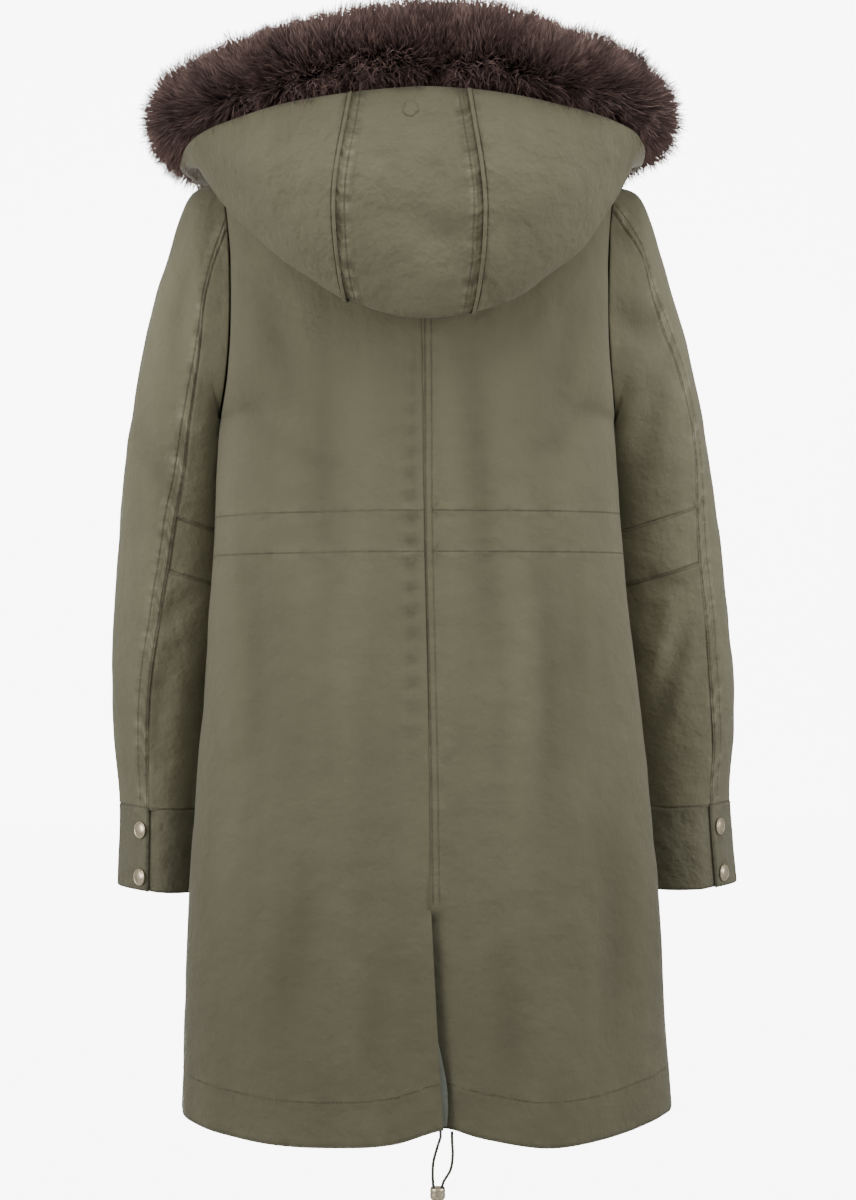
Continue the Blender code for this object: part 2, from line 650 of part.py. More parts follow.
def make_fur(collection):
    """The fur's reach, a fat roll with rounded ends along the hood's edge."""
    stations = np.linspace(-HOOD_ENDS, HOOD_ENDS, 41)
    points = np.array([fur_frame(station)[0] for station in stations])
    radii = [fur_frame(station)[1] for station in stations]
    first, last = unit(points[0] - points[1]), unit(points[-1] - points[-2])
    before = [points[0] + first * radii[0] * along for along, _ in reversed(FUR_END)]
    after = [points[-1] + last * radii[-1] * along for along, _ in FUR_END]
    thin = [radii[0] * share for _, share in FUR_END]
    line = np.concatenate([before, points, after])
    tube("fur_trim", line, [*reversed(thin), *radii, *thin], FUR, collection, resolution=3)


def make_cord(collection):
    for name, route in (("hem_cord_left", CORD_LEFT), ("hem_cord_right", CORD_RIGHT)):
        points = smooth_line(route, (3, 3, 3, 3))
        tube(name, points, [CORD_DIAMETER / 2] * len(points), CORD_GREEN, collection)
    # A small cup with its mouth up, which holds the two knotted ends.
    profile = [
        (0.0053, 0.0106),
        (0.0059, 0.0106),
        (0.0063, 0.0085),
        (0.0063, 0.0030),
        (0.0050, 0.0006),
        (0.0, 0.0),
    ]
    inside = [(0.0, 0.0024), (0.0046, 0.0030), (0.0053, 0.0050), (0.0053, 0.0106)]
    end = turned("cord_end", profile + inside, BRASS, collection)
    end.location = CORD_END


def main():
    for old in list(bpy.data.objects):
        bpy.data.objects.remove(old)
    collection = bpy.data.collections.new("fur_trimmed_parka")
    bpy.context.scene.collection.children.link(collection)
    make_back_left(collection)
    make_back_right(collection)
    make_front(collection)
    make_placket(collection)
    for side, name in ((-1, "left"), (1, "right")):
        make_sleeve(side, f"sleeve_{name}", collection)
        make_cuff(side, f"cuff_{name}", collection)
    make_hood(collection)
    make_fur(collection)
    make_cord(collection)


main()
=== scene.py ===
"""Fur trimmed parka: cloth, stitching, fur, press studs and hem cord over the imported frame.

Metres, +Z up, the coat's back towards -Y and the wearer's right towards +X.
"""
import logging
import math
from dataclasses import dataclass, field
from enum import Enum

import bpy
import numpy as np
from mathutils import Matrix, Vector
from mathutils.kdtree import KDTree


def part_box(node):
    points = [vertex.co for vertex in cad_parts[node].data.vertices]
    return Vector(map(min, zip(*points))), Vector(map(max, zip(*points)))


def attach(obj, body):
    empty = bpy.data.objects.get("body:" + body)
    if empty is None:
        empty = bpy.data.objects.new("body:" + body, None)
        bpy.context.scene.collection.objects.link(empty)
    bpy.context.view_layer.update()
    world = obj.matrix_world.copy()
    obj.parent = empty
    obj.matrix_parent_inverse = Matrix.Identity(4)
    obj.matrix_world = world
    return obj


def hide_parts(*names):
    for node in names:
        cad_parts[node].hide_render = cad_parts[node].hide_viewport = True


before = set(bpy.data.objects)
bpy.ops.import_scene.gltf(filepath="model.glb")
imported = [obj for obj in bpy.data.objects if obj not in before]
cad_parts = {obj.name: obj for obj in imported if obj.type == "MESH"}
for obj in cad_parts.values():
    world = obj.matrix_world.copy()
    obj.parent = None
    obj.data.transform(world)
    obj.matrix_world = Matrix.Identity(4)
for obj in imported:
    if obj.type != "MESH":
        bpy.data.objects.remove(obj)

LOG = logging.getLogger("parka")
Array = np.ndarray
Spec = tuple[str, list[tuple]]


# ---------------------------------------------------------------- sizes shared with the frame

TORSO: Spec = (
    "z half_width side_y back_y front_y power centre_x",
    [
        (-0.860, 0.2125, -0.030, -0.150, 0.142, 2.35, 0.0070),
        (-0.754, 0.2070, -0.030, -0.147, 0.141, 2.35, 0.0055),
        (-0.660, 0.2030, -0.030, -0.144, 0.140, 2.35, 0.0048),
        (-0.494, 0.1885, -0.030, -0.139, 0.138, 2.35, 0.0026),
        (-0.346, 0.1760, -0.029, -0.135, 0.136, 2.35, -0.0006),
        (-0.250, 0.1715, -0.022, -0.134, 0.135, 2.35, -0.0012),
        (-0.190, 0.1680, -0.020, -0.134, 0.131, 2.40, -0.0015),
        (-0.130, 0.1650, -0.020, -0.131, 0.123, 2.50, -0.0018),
    ],
)
BACK_FOLDS: Spec = (
    "x z half_width half_height depth",
    [
        (-0.014, -0.60, 0.020, 0.200, 0.0030),
        (0.050, -0.66, 0.026, 0.210, 0.0035),
        (-0.105, -0.80, 0.040, 0.140, -0.0050),
        (0.110, -0.80, 0.045, 0.150, -0.0060),
        (-0.165, -0.72, 0.022, 0.160, 0.0040),
        (0.165, -0.70, 0.022, 0.170, 0.0035),
    ],
)
FRONT_FOLDS: Spec = (
    "x z half_width half_height depth",
    [
        (-0.100, -0.72, 0.035, 0.210, 0.0050),
        (0.112, -0.70, 0.032, 0.230, 0.0055),
        (-0.160, -0.55, 0.024, 0.180, 0.0035),
        (0.165, -0.60, 0.024, 0.170, 0.0035),
    ],
)
HEM_BACK: Spec = (
    "x rise",
    [(-0.21, 0.006), (-0.17, -0.001), (-0.09, -0.006), (-0.03, -0.003), (0.012, 0.009),
     (0.05, 0.000), (0.10, -0.008), (0.15, -0.005), (0.21, 0.006)],
)
SLEEVE: Spec = (
    "step outer_x outer_z inner_x inner_z middle_y half_depth corner seam seam_right right_out",
    [
        (0, 0.1720, -0.041, 0.1715, -0.250, 0.000, 0.057, 0.000, 60, 46, 0.000),
        (1, 0.1985, -0.053, 0.1765, -0.259, 0.007, 0.060, 0.000, 92, 66, 0.000),
        (2, 0.2170, -0.101, 0.1752, -0.269, 0.016, 0.063, 0.000, 99, 69, 0.000),
        (3, 0.2325, -0.149, 0.1738, -0.282, 0.024, 0.065, 0.000, 101, 62, -0.001),
        (4, 0.2425, -0.194, 0.1740, -0.298, 0.031, 0.065, 0.000, 101, 57, 0.002),
        (5, 0.2505, -0.238, 0.1735, -0.313, 0.037, 0.065, 0.001, 101, 54, 0.005),
        (6, 0.2570, -0.279, 0.1726, -0.331, 0.042, 0.064, 0.002, 99, 56, 0.007),
        (7, 0.2615, -0.317, 0.1724, -0.349, 0.046, 0.063, 0.003, 95, 62, 0.009),
        (8, 0.2650, -0.366, 0.1747, -0.396, 0.050, 0.061, 0.005, 91, 66, 0.013),
        (9, 0.2690, -0.424, 0.1780, -0.444, 0.053, 0.058, 0.007, 86, 65, 0.016),
        (10, 0.2700, -0.478, 0.1830, -0.490, 0.055, 0.055, 0.009, 80, 66, 0.020),
        (11, 0.2690, -0.530, 0.1870, -0.536, 0.057, 0.051, 0.012, 76, 62, 0.022),
        (12, 0.2640, -0.588, 0.1930, -0.592, 0.058, 0.046, 0.016, 71, 56, 0.023),
        (13, 0.2650, -0.663, 0.1940, -0.667, 0.058, 0.045, 0.017, 69, 58, 0.028),
    ],
)
NECK_Z: Spec = (
    "azimuth z",
    [(0, 0.000), (45, 0.004), (90, 0.003), (120, -0.020), (150, -0.056), (180, -0.075)],
)
HOOD: Spec = (
    "station neck fold_x fold_y fold_z out up fur_x fur_y fur_z fur_radius under",
    [
        (0, 0, 0.000, -0.168, -0.189, 0.043, 0.096, 0.000, -0.175, 0.041, 0.040, 55),
        (1, 26, 0.062, -0.166, -0.172, 0.041, 0.086, 0.054, -0.172, 0.037, 0.040, 55),
        (2, 50, 0.108, -0.152, -0.136, 0.033, 0.063, 0.110, -0.150, 0.028, 0.040, 53),
        (3, 72, 0.151, -0.120, -0.093, 0.022, 0.040, 0.162, -0.106, 0.015, 0.043, 50),
        (4, 92, 0.183, -0.070, -0.044, 0.010, 0.003, 0.193, -0.050, 0.009, 0.042, 74),
        (5, 112, 0.160, 0.004, -0.026, 0.016, -0.0075, 0.192, 0.012, 0.003, 0.037, 84),
        (6, 138, 0.120, 0.080, -0.048, 0.015, -0.014, 0.152, 0.090, -0.015, 0.034, 84),
        (7, 164, 0.052, 0.112, -0.080, 0.012, -0.008, 0.082, 0.131, -0.046, 0.029, 84),
    ],
)
CORD_LEFT: list[tuple] = [(0.0122, -0.1500, -0.8490), (0.0087, -0.1500, -0.8600), (0.0062, -0.1500, -0.8700),
                          (0.0057, -0.1500, -0.8810), (0.0065, -0.1500, -0.8925)]
CORD_RIGHT: list[tuple] = [(0.0217, -0.1500, -0.8530), (0.0222, -0.1500, -0.8640), (0.0204, -0.1500, -0.8760),
                           (0.0146, -0.1500, -0.8860), (0.0128, -0.1500, -0.8925)]
CORD_END: tuple = (0.0098, -0.1500, -0.9010)


class Side(Enum):
    """One side of the coat, with its sign along X."""

    LEFT = -1
    RIGHT = 1


class Face(Enum):
    """Back or front of the coat, with its sign along Y."""

    BACK = -1
    FRONT = 1


class Table:
    """Rows of named sizes, read between rows along a smooth curve."""

    def __init__(self, spec: Spec) -> None:
        """Keeps the rows of a spec, which is its column names and its rows."""
        names, rows = spec
        self.names = names.split()
        self.rows = np.array(rows, float)

    def at(self, name: str, key: float | Array) -> Array:
        """The named column where the first column has the value key.

        Args:
            name: the column to read.
            key: one or more values of the first column.

        Returns:
            The values read, shaped as key.
        """
        x, y = self.rows[:, 0], self.rows[:, self.names.index(name)]
        key = np.clip(np.asarray(key, float), x[0], x[-1])
        slope = np.gradient(y, x)
        i = np.clip(np.searchsorted(x, key) - 1, 0, len(x) - 2)
        width = x[i + 1] - x[i]
        t = (key - x[i]) / width
        return (
            y[i] * (1 + 2 * t) * (1 - t) ** 2
            + slope[i] * width * t * (1 - t) ** 2
            + y[i + 1] * t * t * (3 - 2 * t)
            + slope[i + 1] * width * t * t * (t - 1)
        )


def mirrored(spec: Spec, odd: tuple[str, ...]) -> Spec:
    """The same rows on both sides of key 0, the columns named in odd changing sign."""
    names, rows = spec
    sign = [-1 if name in odd else 1 for name in names.split()]
    other = [tuple(s * value for s, value in zip(sign, row)) for row in reversed(rows[1:])]
    return names, other + list(rows)


def unit(v: Array) -> Array:
    """Vectors made one metre long."""
    return v / np.maximum(np.linalg.norm(v, axis=-1, keepdims=True), 1e-12)


def ease(t: Array | float) -> Array:
    """A smooth step from 0 to 1 as t goes from 0 to 1."""
    t = np.clip(t, 0, 1)
    return t * t * (3 - 2 * t)


def measured(points: Array) -> Array:
    """The length along a line of points, at each point."""
    steps = np.linalg.norm(np.diff(points, axis=0), axis=1)
    return np.concatenate([[0.0], np.cumsum(steps)])


def at_lengths(points: Array, lengths: Array) -> Array:
    """Points at the given lengths along a line of points."""
    along = measured(points)
    return np.stack([np.interp(lengths, along, points[:, k]) for k in range(3)], axis=1)


def smooth_line(points: list | Array, counts: tuple[int, ...]) -> Array:
    """Points along a smooth curve through the given ones, counts[i] steps between two of them."""
    points = np.array(points, float)
    key = np.concatenate([[0.0], np.cumsum(np.linalg.norm(np.diff(points, axis=0), axis=1) ** 0.5)])
    curve = Table(("key x y z", np.column_stack([key, points])))
    runs = [np.linspace(a, b, count, endpoint=False) for a, b, count in zip(key, key[1:], counts)]
    at = np.append(np.concatenate(runs), key[-1])
    return np.stack([curve.at(name, at) for name in "xyz"], axis=1)


class Noise:
    """Smooth repeatable unevenness, from -1 to 1, on a lattice of fixed random values."""

    def __init__(self, seed: int) -> None:
        """Fills the lattice from a fixed seed."""
        self.lattice = np.random.default_rng(seed).uniform(-1, 1, (32, 32, 32))

    def at(self, points: Array, wave: tuple[float, float, float] | float) -> Array:
        """The value at each point.

        Args:
            points: places in metres.
            wave: distance between lattice points along each axis, in metres.

        Returns:
            One value for each point.
        """
        place = points / np.asarray(wave) + 1000.0
        low = np.floor(place).astype(int)
        part = ease(place - low)
        total = np.zeros(points.shape[:-1])
        for corner in np.ndindex(2, 2, 2):
            weight = np.prod(np.where(np.array(corner) == 1, part, 1 - part), axis=-1)
            i, j, k = (low[..., n] + corner[n] & 31 for n in range(3))
            total += weight * self.lattice[i, j, k]
        return total


# ---------------------------------------------------------------- the coat's form

@dataclass
class Form:
    """The coat's shape as worn, given as rows and rings of points."""

    hem_z: float = -0.853
    underarm_z: float = -0.250
    chest_back_z: float = -0.130
    chest_front_z: float = -0.155
    neck_half_width: float = 0.074
    neck_half_depth: float = 0.068
    shoulder_azimuth: float = 92.0
    neck_share: float = 0.5
    shoulder_guide: tuple[float, float, float] = (0.35, 0.10, 0.80)
    side_ease: float = 0.14
    front_hem_rise: float = 0.006
    inner_share: float = 0.65
    hood_lift: float = 0.0058
    hood_roll: float = 0.030
    hood_rise: float = 0.016
    fur_off: float = 0.0030
    tip_shift: tuple[float, float, float] = (-0.012, 0.0, 0.006)
    pouch_lift: float = 0.0105
    torso: Table = field(default_factory=lambda: Table(TORSO))
    sleeve: Table = field(default_factory=lambda: Table(SLEEVE))
    hem_back: Table = field(default_factory=lambda: Table(HEM_BACK))
    neck_z: Table = field(default_factory=lambda: Table(NECK_Z))
    folds: dict = field(
        default_factory=lambda: {Face.BACK: Table(BACK_FOLDS), Face.FRONT: Table(FRONT_FOLDS)},
    )
    hood: Table = field(default_factory=lambda: Table(mirrored(HOOD, ("station", "neck", "fold_x", "fur_x"))))

    def sleeve_ring(self, step: float, angles: Array, side: Side) -> Array:
        """Points of a sleeve: angle 0 is the outer side, 90 the back, 180 next to the body.

        Args:
            step: place down the sleeve, 0 at the armhole and 13 at the cuff's lower edge.
            angles: degrees round the sleeve.
            side: which sleeve.

        Returns:
            One point for each angle.
        """
        read = {name: float(self.sleeve.at(name, step)) for name in self.sleeve.names}
        turn = np.radians(np.asarray(angles, float))
        power = 2 / 2.25
        across = np.sign(np.cos(turn)) * np.abs(np.cos(turn)) ** power
        deep = np.sign(np.sin(turn)) * np.abs(np.sin(turn)) ** power
        out = read["right_out"] if side is Side.RIGHT else 0.0
        outer_x, inner_x = read["outer_x"] + out, read["inner_x"] + self.inner_share * out
        bow = max(0.0, 1 - step) * np.where(deep > 0, 0.010, 0.018) * deep * deep
        x = (outer_x + inner_x) / 2 + (outer_x - inner_x) / 2 * across - bow
        x = x - read["corner"] * np.maximum(0.0, deep) * np.maximum(0.0, across)
        y = read["middle_y"] - read["half_depth"] * deep
        z = (read["outer_z"] + read["inner_z"]) / 2 + (read["outer_z"] - read["inner_z"]) / 2 * across
        return np.stack([side.value * x, y, z], axis=-1)

    def sleeve_seam(self, step: float, side: Side) -> float:
        """Where the back seam runs, in degrees round the sleeve."""
        return float(self.sleeve.at("seam_right" if side is Side.RIGHT else "seam", step))

    def armhole(self, angle: float, side: Side) -> Array:
        """A point of the armhole seam."""
        return self.sleeve_ring(0.0, np.array([angle]), side)[0]

    def neck_point(self, azimuth: float) -> Array:
        """A point of the neck seam, in signed degrees from the centre back."""
        turn = math.radians(azimuth)
        y = 0.002 - self.neck_half_depth * math.cos(turn)
        return np.array([self.neck_half_width * math.sin(turn), y, float(self.neck_z.at("z", abs(azimuth)))])

    def quarter(self, centre: Array, edge: Array, power: float, fractions: Array) -> Array:
        """An even run of points round a quarter from the centre line to the side."""
        turn = np.linspace(0, math.pi / 2, 200)
        x = np.sin(turn) ** (2 / power)
        y = np.cos(turn) ** (2 / power)
        points = np.stack(
            [
                centre[0] + (edge[0] - centre[0]) * x,
                edge[1] + (centre[1] - edge[1]) * y,
                centre[2] + (edge[2] - centre[2]) * x * x,
            ],
            axis=1,
        )
        return at_lengths(points, fractions * measured(points)[-1])

    def top_line(self, face: Face, side: Side, fractions: Array) -> Array:
        """The neck seam from the centre to the shoulder, then the shoulder seam to the armhole."""
        start = 0.0 if face is Face.BACK else 180.0
        azimuths = np.linspace(start, self.shoulder_azimuth, 60)
        neck = np.array([self.neck_point(side.value * a) for a in azimuths])
        shoulder = np.linspace(neck[-1], self.armhole(0.0, side), 20)
        share = self.neck_share
        on_neck = at_lengths(neck, np.clip(fractions / share, 0, 1) * measured(neck)[-1])
        beyond = np.clip((fractions - share) / (1 - share), 0, 1)
        on_shoulder = at_lengths(shoulder, beyond * measured(shoulder)[-1])
        return np.where(fractions[:, None] <= share, on_neck, on_shoulder)

    def rounded(self, base: Array, top: Array, t: float) -> Array:
        """Points a share t of the way from the chest, over the curve to the shoulder."""
        guide = base + (top - base) * np.array(self.shoulder_guide)
        return (1 - t) ** 2 * base + 2 * t * (1 - t) * guide + t * t * top

    def torso_row(self, face: Face, side: Side, level: float, fractions: Array) -> Array:
        """A row of a panel: level 0 is the hem, 1 the underarm, 2 the chest, 3 the neck.

        Args:
            face: back or front.
            side: left or right half.
            level: the row's place up the panel.
            fractions: places along the row, from the centre line to the side.

        Returns:
            One point for each fraction.
        """
        column = "back_y" if face is Face.BACK else "front_y"
        power = float(self.torso.at("power", self.hem_z))
        if level <= 1:
            z = self.hem_z + (self.underarm_z - self.hem_z) * level
            middle_x = float(self.torso.at("centre_x", z))
            centre = np.array([middle_x, float(self.torso.at(column, z)), z])
            edge_x = middle_x + side.value * float(self.torso.at("half_width", z))
            edge = np.array([edge_x, float(self.torso.at("side_y", z)), z])
            share = max(0.0, (level - 1 + self.side_ease) / self.side_ease) ** 2
            return self.quarter(centre, edge + (self.armhole(180.0, side) - edge) * share, power, fractions)
        turn = -face.value
        low = self.chest_back_z if face is Face.BACK else self.chest_front_z
        if level <= 2:
            t = level - 1
            z = self.underarm_z + (low - self.underarm_z) * t
            centre = np.array([float(self.torso.at("centre_x", z)), float(self.torso.at(column, z)), z])
            return self.quarter(centre, self.armhole(turn * (180.0 - 90.0 * t), side), power, fractions)
        t = level - 2
        chest = self.torso_row(face, side, 2.0, fractions)
        points = self.rounded(chest, self.top_line(face, side, fractions), t)
        last = self.rounded(self.armhole(turn * 90.0, side), self.armhole(0.0, side), t)
        full = self.armhole(turn * 90.0 * (1 - t), side)
        return points + (full - last) * (fractions[:, None] ** 3)

    def folded(self, points: Array, face: Face, fractions: Array) -> Array:
        """A row moved out and in by the panel's soft folds, with the hem's wave."""
        still = 1 - fractions ** 6
        moved = points.copy()
        for x, z, half_width, half_height, depth in self.folds[face].rows:
            across = np.exp(-(((points[:, 0] - x) / half_width) ** 2))
            tall = np.exp(-(((points[:, 2] - z) / half_height) ** 2))
            moved[:, 1] -= face.value * depth * across * tall * still
        low = np.clip((self.underarm_z - points[:, 2]) / (self.underarm_z - self.hem_z), 0, 1) ** 6
        rise = self.hem_back.at("rise", points[:, 0]) if face is Face.BACK else self.front_hem_rise
        moved[:, 2] += low * rise
        return moved

    def level_of(self, z: float) -> float:
        """The level of a height on the centre line, up to the front's chest."""
        if z < self.underarm_z:
            return (z - self.hem_z) / (self.underarm_z - self.hem_z)
        return 1 + (z - self.underarm_z) / (self.chest_front_z - self.underarm_z)

    def fur_frame(self, station: float) -> tuple[Array, float, Array, Array]:
        """The middle of the fur at a station, its radius, its way out and its way along."""

        def middle(at: float) -> Array:
            """The middle of the fur at one station."""
            return np.array([float(self.hood.at(name, at)) for name in ("fur_x", "fur_y", "fur_z")])

        ahead = middle(min(station + 0.1, 7)) - middle(max(station - 0.1, -7))
        out = unit(np.array([ahead[1], -ahead[0], 0.0]))
        return middle(station), float(self.hood.at("fur_radius", station)), out, unit(ahead)

    def drawn_in(self, points: Array) -> Array:
        """The hood's or fur's points, the right tip drawn in and the pouch's low part lifted."""
        share = ease((points[..., 0] - 0.11) / 0.10) * ease((points[..., 2] + 0.16) / 0.06)
        low = self.pouch_lift * ease((-0.110 - points[..., 2]) / 0.080)
        shift = share[..., None] * np.array(self.tip_shift)
        return points + shift + low[..., None] * np.array([0.0, 0.0, 1.0])

    def hood_profile(self, station: float, counts: tuple[int, ...]) -> Array:
        """The hood's cloth at a station, from the neck seam round the pouch to the fur."""
        read = {name: float(self.hood.at(name, station)) for name in self.hood.names}
        neck = self.neck_point(read["neck"]) + np.array([0, 0, self.hood_lift])
        fold = np.array([read["fold_x"], read["fold_y"], read["fold_z"]])
        away = unit((fold - neck) * np.array([1, 1, 0]))
        middle, radius, out, _ = self.fur_frame(station)
        under = math.radians(read["under"])
        edge = middle + (radius + self.fur_off) * (math.cos(under) * out - np.array([0, 0, math.sin(under)]))
        bulge = fold + read["out"] * away + np.array([0, 0, read["up"]])
        roll = neck + self.hood_roll * away + np.array([0, 0, self.hood_rise])
        return smooth_line([neck, roll, fold, bulge, edge], counts)


# ---------------------------------------------------------------- node trees

@dataclass
class Wire:
    """A number on a socket, which takes part in sums as a number does."""

    tree: "Tree"
    socket: bpy.types.NodeSocket

    def math(self, operation: str, *others: "Wire | float", swap: bool = False) -> "Wire":
        """A Math node on this number and others.

        Args:
            operation: the node's operation.
            others: what it works on besides this one.
            swap: puts the other number first.

        Returns:
            The node's result.
        """
        values = [self, *others] if not swap else [*others, self]
        node = self.tree.node("ShaderNodeMath", {"operation": operation}, dict(enumerate(values)))
        return Wire(self.tree, node.outputs[0])

    def __add__(self, other: "Wire | float") -> "Wire":
        """The sum."""
        return self.math("ADD", other)

    def __radd__(self, other: float) -> "Wire":
        """The sum, number first."""
        return self.math("ADD", other)

    def __sub__(self, other: "Wire | float") -> "Wire":
        """The difference."""
        return self.math("SUBTRACT", other)

    def __rsub__(self, other: float) -> "Wire":
        """The difference, number first."""
        return self.math("SUBTRACT", other, swap=True)

    def __mul__(self, other: "Wire | float") -> "Wire":
        """The product."""
        return self.math("MULTIPLY", other)

    def __truediv__(self, other: "Wire | float") -> "Wire":
        """The quotient."""
        return self.math("DIVIDE", other)


class Tree:
    """A node tree, with one way to add a node."""

    def __init__(self, tree: bpy.types.NodeTree) -> None:
        """Keeps the tree."""
        self.tree = tree

    def link(self, value: object, socket: bpy.types.NodeSocket) -> None:
        """Links or sets a socket from a Wire, another socket or a plain value."""
        if isinstance(value, Wire):
            self.tree.links.new(value.socket, socket)
        elif isinstance(value, bpy.types.NodeSocket):
            self.tree.links.new(value, socket)
        else:
            socket.default_value = value

    def node(self, kind: str, settings: dict | None = None, inputs: dict | None = None) -> bpy.types.Node:
        """Adds a node.

        Args:
            kind: the node's type.
            settings: its own settings, set first.
            inputs: values or links by socket name or number.

        Returns:
            The node.
        """
        made = self.tree.nodes.new(kind)
        for name, value in (settings or {}).items():
            setattr(made, name, value)
        for name, value in (inputs or {}).items():
            self.link(value, made.inputs[name])
        return made

    def vector(self, operation: str, *values: object, **named: object) -> bpy.types.NodeSocket:
        """The result of a Vector Math node."""
        inputs = {**dict(enumerate(values)), **named}
        return self.node("ShaderNodeVectorMath", {"operation": operation}, inputs).outputs[0]


class Surface(Tree):
    """A material built from nodes around one Principled shader."""

    def __init__(self, name: str) -> None:
        """Makes the material and finds its shader."""
        self.material = bpy.data.materials.new(name)
        self.material.use_nodes = True
        super().__init__(self.material.node_tree)
        self.shader = self.tree.nodes["Principled BSDF"]

    def set(self, **values: object) -> None:
        """Sets the shader's sockets, an underscore in a name standing for a space."""
        for name, value in values.items():
            self.link(value, self.shader.inputs[name.replace("_", " ")])

    def attribute(self, name: str) -> Wire:
        """A number kept on the piece."""
        return Wire(self, self.node("ShaderNodeAttribute", {"attribute_name": name}).outputs["Fac"])

    def place(
        self, scale: tuple[float, float, float] = (1, 1, 1), turn: float = 0.0, flat: bool = False,
    ) -> object:
        """Object coordinates, or the piece's flat ones, scaled and turned about Z."""
        coordinates = self.node("ShaderNodeTexCoord").outputs["UV" if flat else "Object"]
        inputs = {"Vector": coordinates, "Scale": scale, "Rotation": (0.0, 0.0, turn)}
        return self.node("ShaderNodeMapping", None, inputs).outputs[0]

    def joined(self, x: Wire | float, y: Wire | float, z: Wire | float = 0.0) -> object:
        """A vector from three numbers."""
        return self.node("ShaderNodeCombineXYZ", None, {0: x, 1: y, 2: z}).outputs[0]

    def noise(self, vector: object, scale: float, detail: float = 2.0, roughness: float = 0.5) -> Wire:
        """Smooth unevenness from 0 to 1."""
        inputs = {"Vector": vector, "Scale": scale, "Detail": detail, "Roughness": roughness}
        return Wire(self, self.node("ShaderNodeTexNoise", None, inputs).outputs[0])

    def wave(self, vector: object, scale: float, distortion: float = 0.0) -> Wire:
        """Even bands from 0 to 1 along X."""
        inputs = {"Vector": vector, "Scale": scale, "Distortion": distortion}
        return Wire(self, self.node("ShaderNodeTexWave", None, inputs).outputs[1])

    def ramp(self, factor: Wire, low: float, high: float, start: float = 0.0, end: float = 1.0) -> Wire:
        """A smooth change from start to end as factor goes from low to high."""
        settings = {"interpolation_type": "SMOOTHSTEP"}
        inputs = {"Value": factor, "From Min": low, "From Max": high, "To Min": start, "To Max": end}
        return Wire(self, self.node("ShaderNodeMapRange", settings, inputs).outputs[0])

    def blend(self, factor: Wire | float, first: object, second: object) -> object:
        """A colour between two others."""
        node = self.node("ShaderNodeMix", {"data_type": "RGBA"})
        for index, value in ((0, factor), (6, first), (7, second)):
            self.link(value, node.inputs[index])
        return node.outputs[2]

    def shaded(self, colour: object, factor: Wire) -> object:
        """A colour made lighter or darker by a factor."""
        return self.vector("SCALE", colour, Scale=factor)

    def bump(self, height: Wire, distance: float, strength: float = 1.0) -> None:
        """Feeds the shader's Normal from a height in shares of a distance."""
        inputs = {"Height": height, "Distance": distance, "Strength": strength}
        self.set(Normal=self.node("ShaderNodeBump", None, inputs).outputs[0])


class Recipe(Tree):
    """A Geometry Nodes tree with named inputs, which grows one mesh from another."""

    def __init__(self, name: str, inputs: dict[str, str]) -> None:
        """Makes the tree with a geometry in and out and the inputs named.

        Args:
            name: the tree's name.
            inputs: each input's name and socket type.
        """
        tree = bpy.data.node_groups.new(name, "GeometryNodeTree")
        tree.interface.new_socket("Geometry", in_out="INPUT", socket_type="NodeSocketGeometry")
        tree.interface.new_socket("Geometry", in_out="OUTPUT", socket_type="NodeSocketGeometry")
        self.keys = {
            key: tree.interface.new_socket(key, in_out="INPUT", socket_type=kind).identifier
            for key, kind in inputs.items()
        }
        super().__init__(tree)
        self.source = self.node("NodeGroupInput")
        self.sink = self.node("NodeGroupOutput")

    def product(self, first: object, second: object) -> bpy.types.NodeSocket:
        """The product of two numbers."""
        return self.node("ShaderNodeMath", {"operation": "MULTIPLY"}, {0: first, 1: second}).outputs[0]

    def named(self, name: str, kind: str = "FLOAT") -> bpy.types.NodeSocket:
        """A named attribute of the geometry."""
        return self.node("GeometryNodeInputNamedAttribute", {"data_type": kind}, {"Name": name}).outputs[0]

    def finish(self, geometry: bpy.types.NodeSocket, material: bpy.types.Material) -> None:
        """Ends the tree by setting the material."""
        dressed = self.node("GeometryNodeSetMaterial", None, {"Geometry": geometry, "Material": material})
        self.link(dressed.outputs[0], self.sink.inputs[0])

    def grow(self, base: bpy.types.Object, name: str, **values: object) -> bpy.types.Object:
        """Runs the tree on an object and keeps the result as a plain mesh.

        Args:
            base: the object it grows from.
            name: the new object's name.
            values: the inputs' values.

        Returns:
            The new object.
        """
        modifier = base.modifiers.new("grow", "NODES")
        modifier.node_group = self.tree
        for key, value in values.items():
            modifier[self.keys[key]] = value
        depsgraph = bpy.context.evaluated_depsgraph_get()
        result = base.evaluated_get(depsgraph)
        mesh = bpy.data.meshes.new_from_object(result, preserve_all_data_layers=True, depsgraph=depsgraph)
        base.modifiers.remove(modifier)
        mesh.name = name
        return linked(name, mesh)


# ---------------------------------------------------------------- finishes

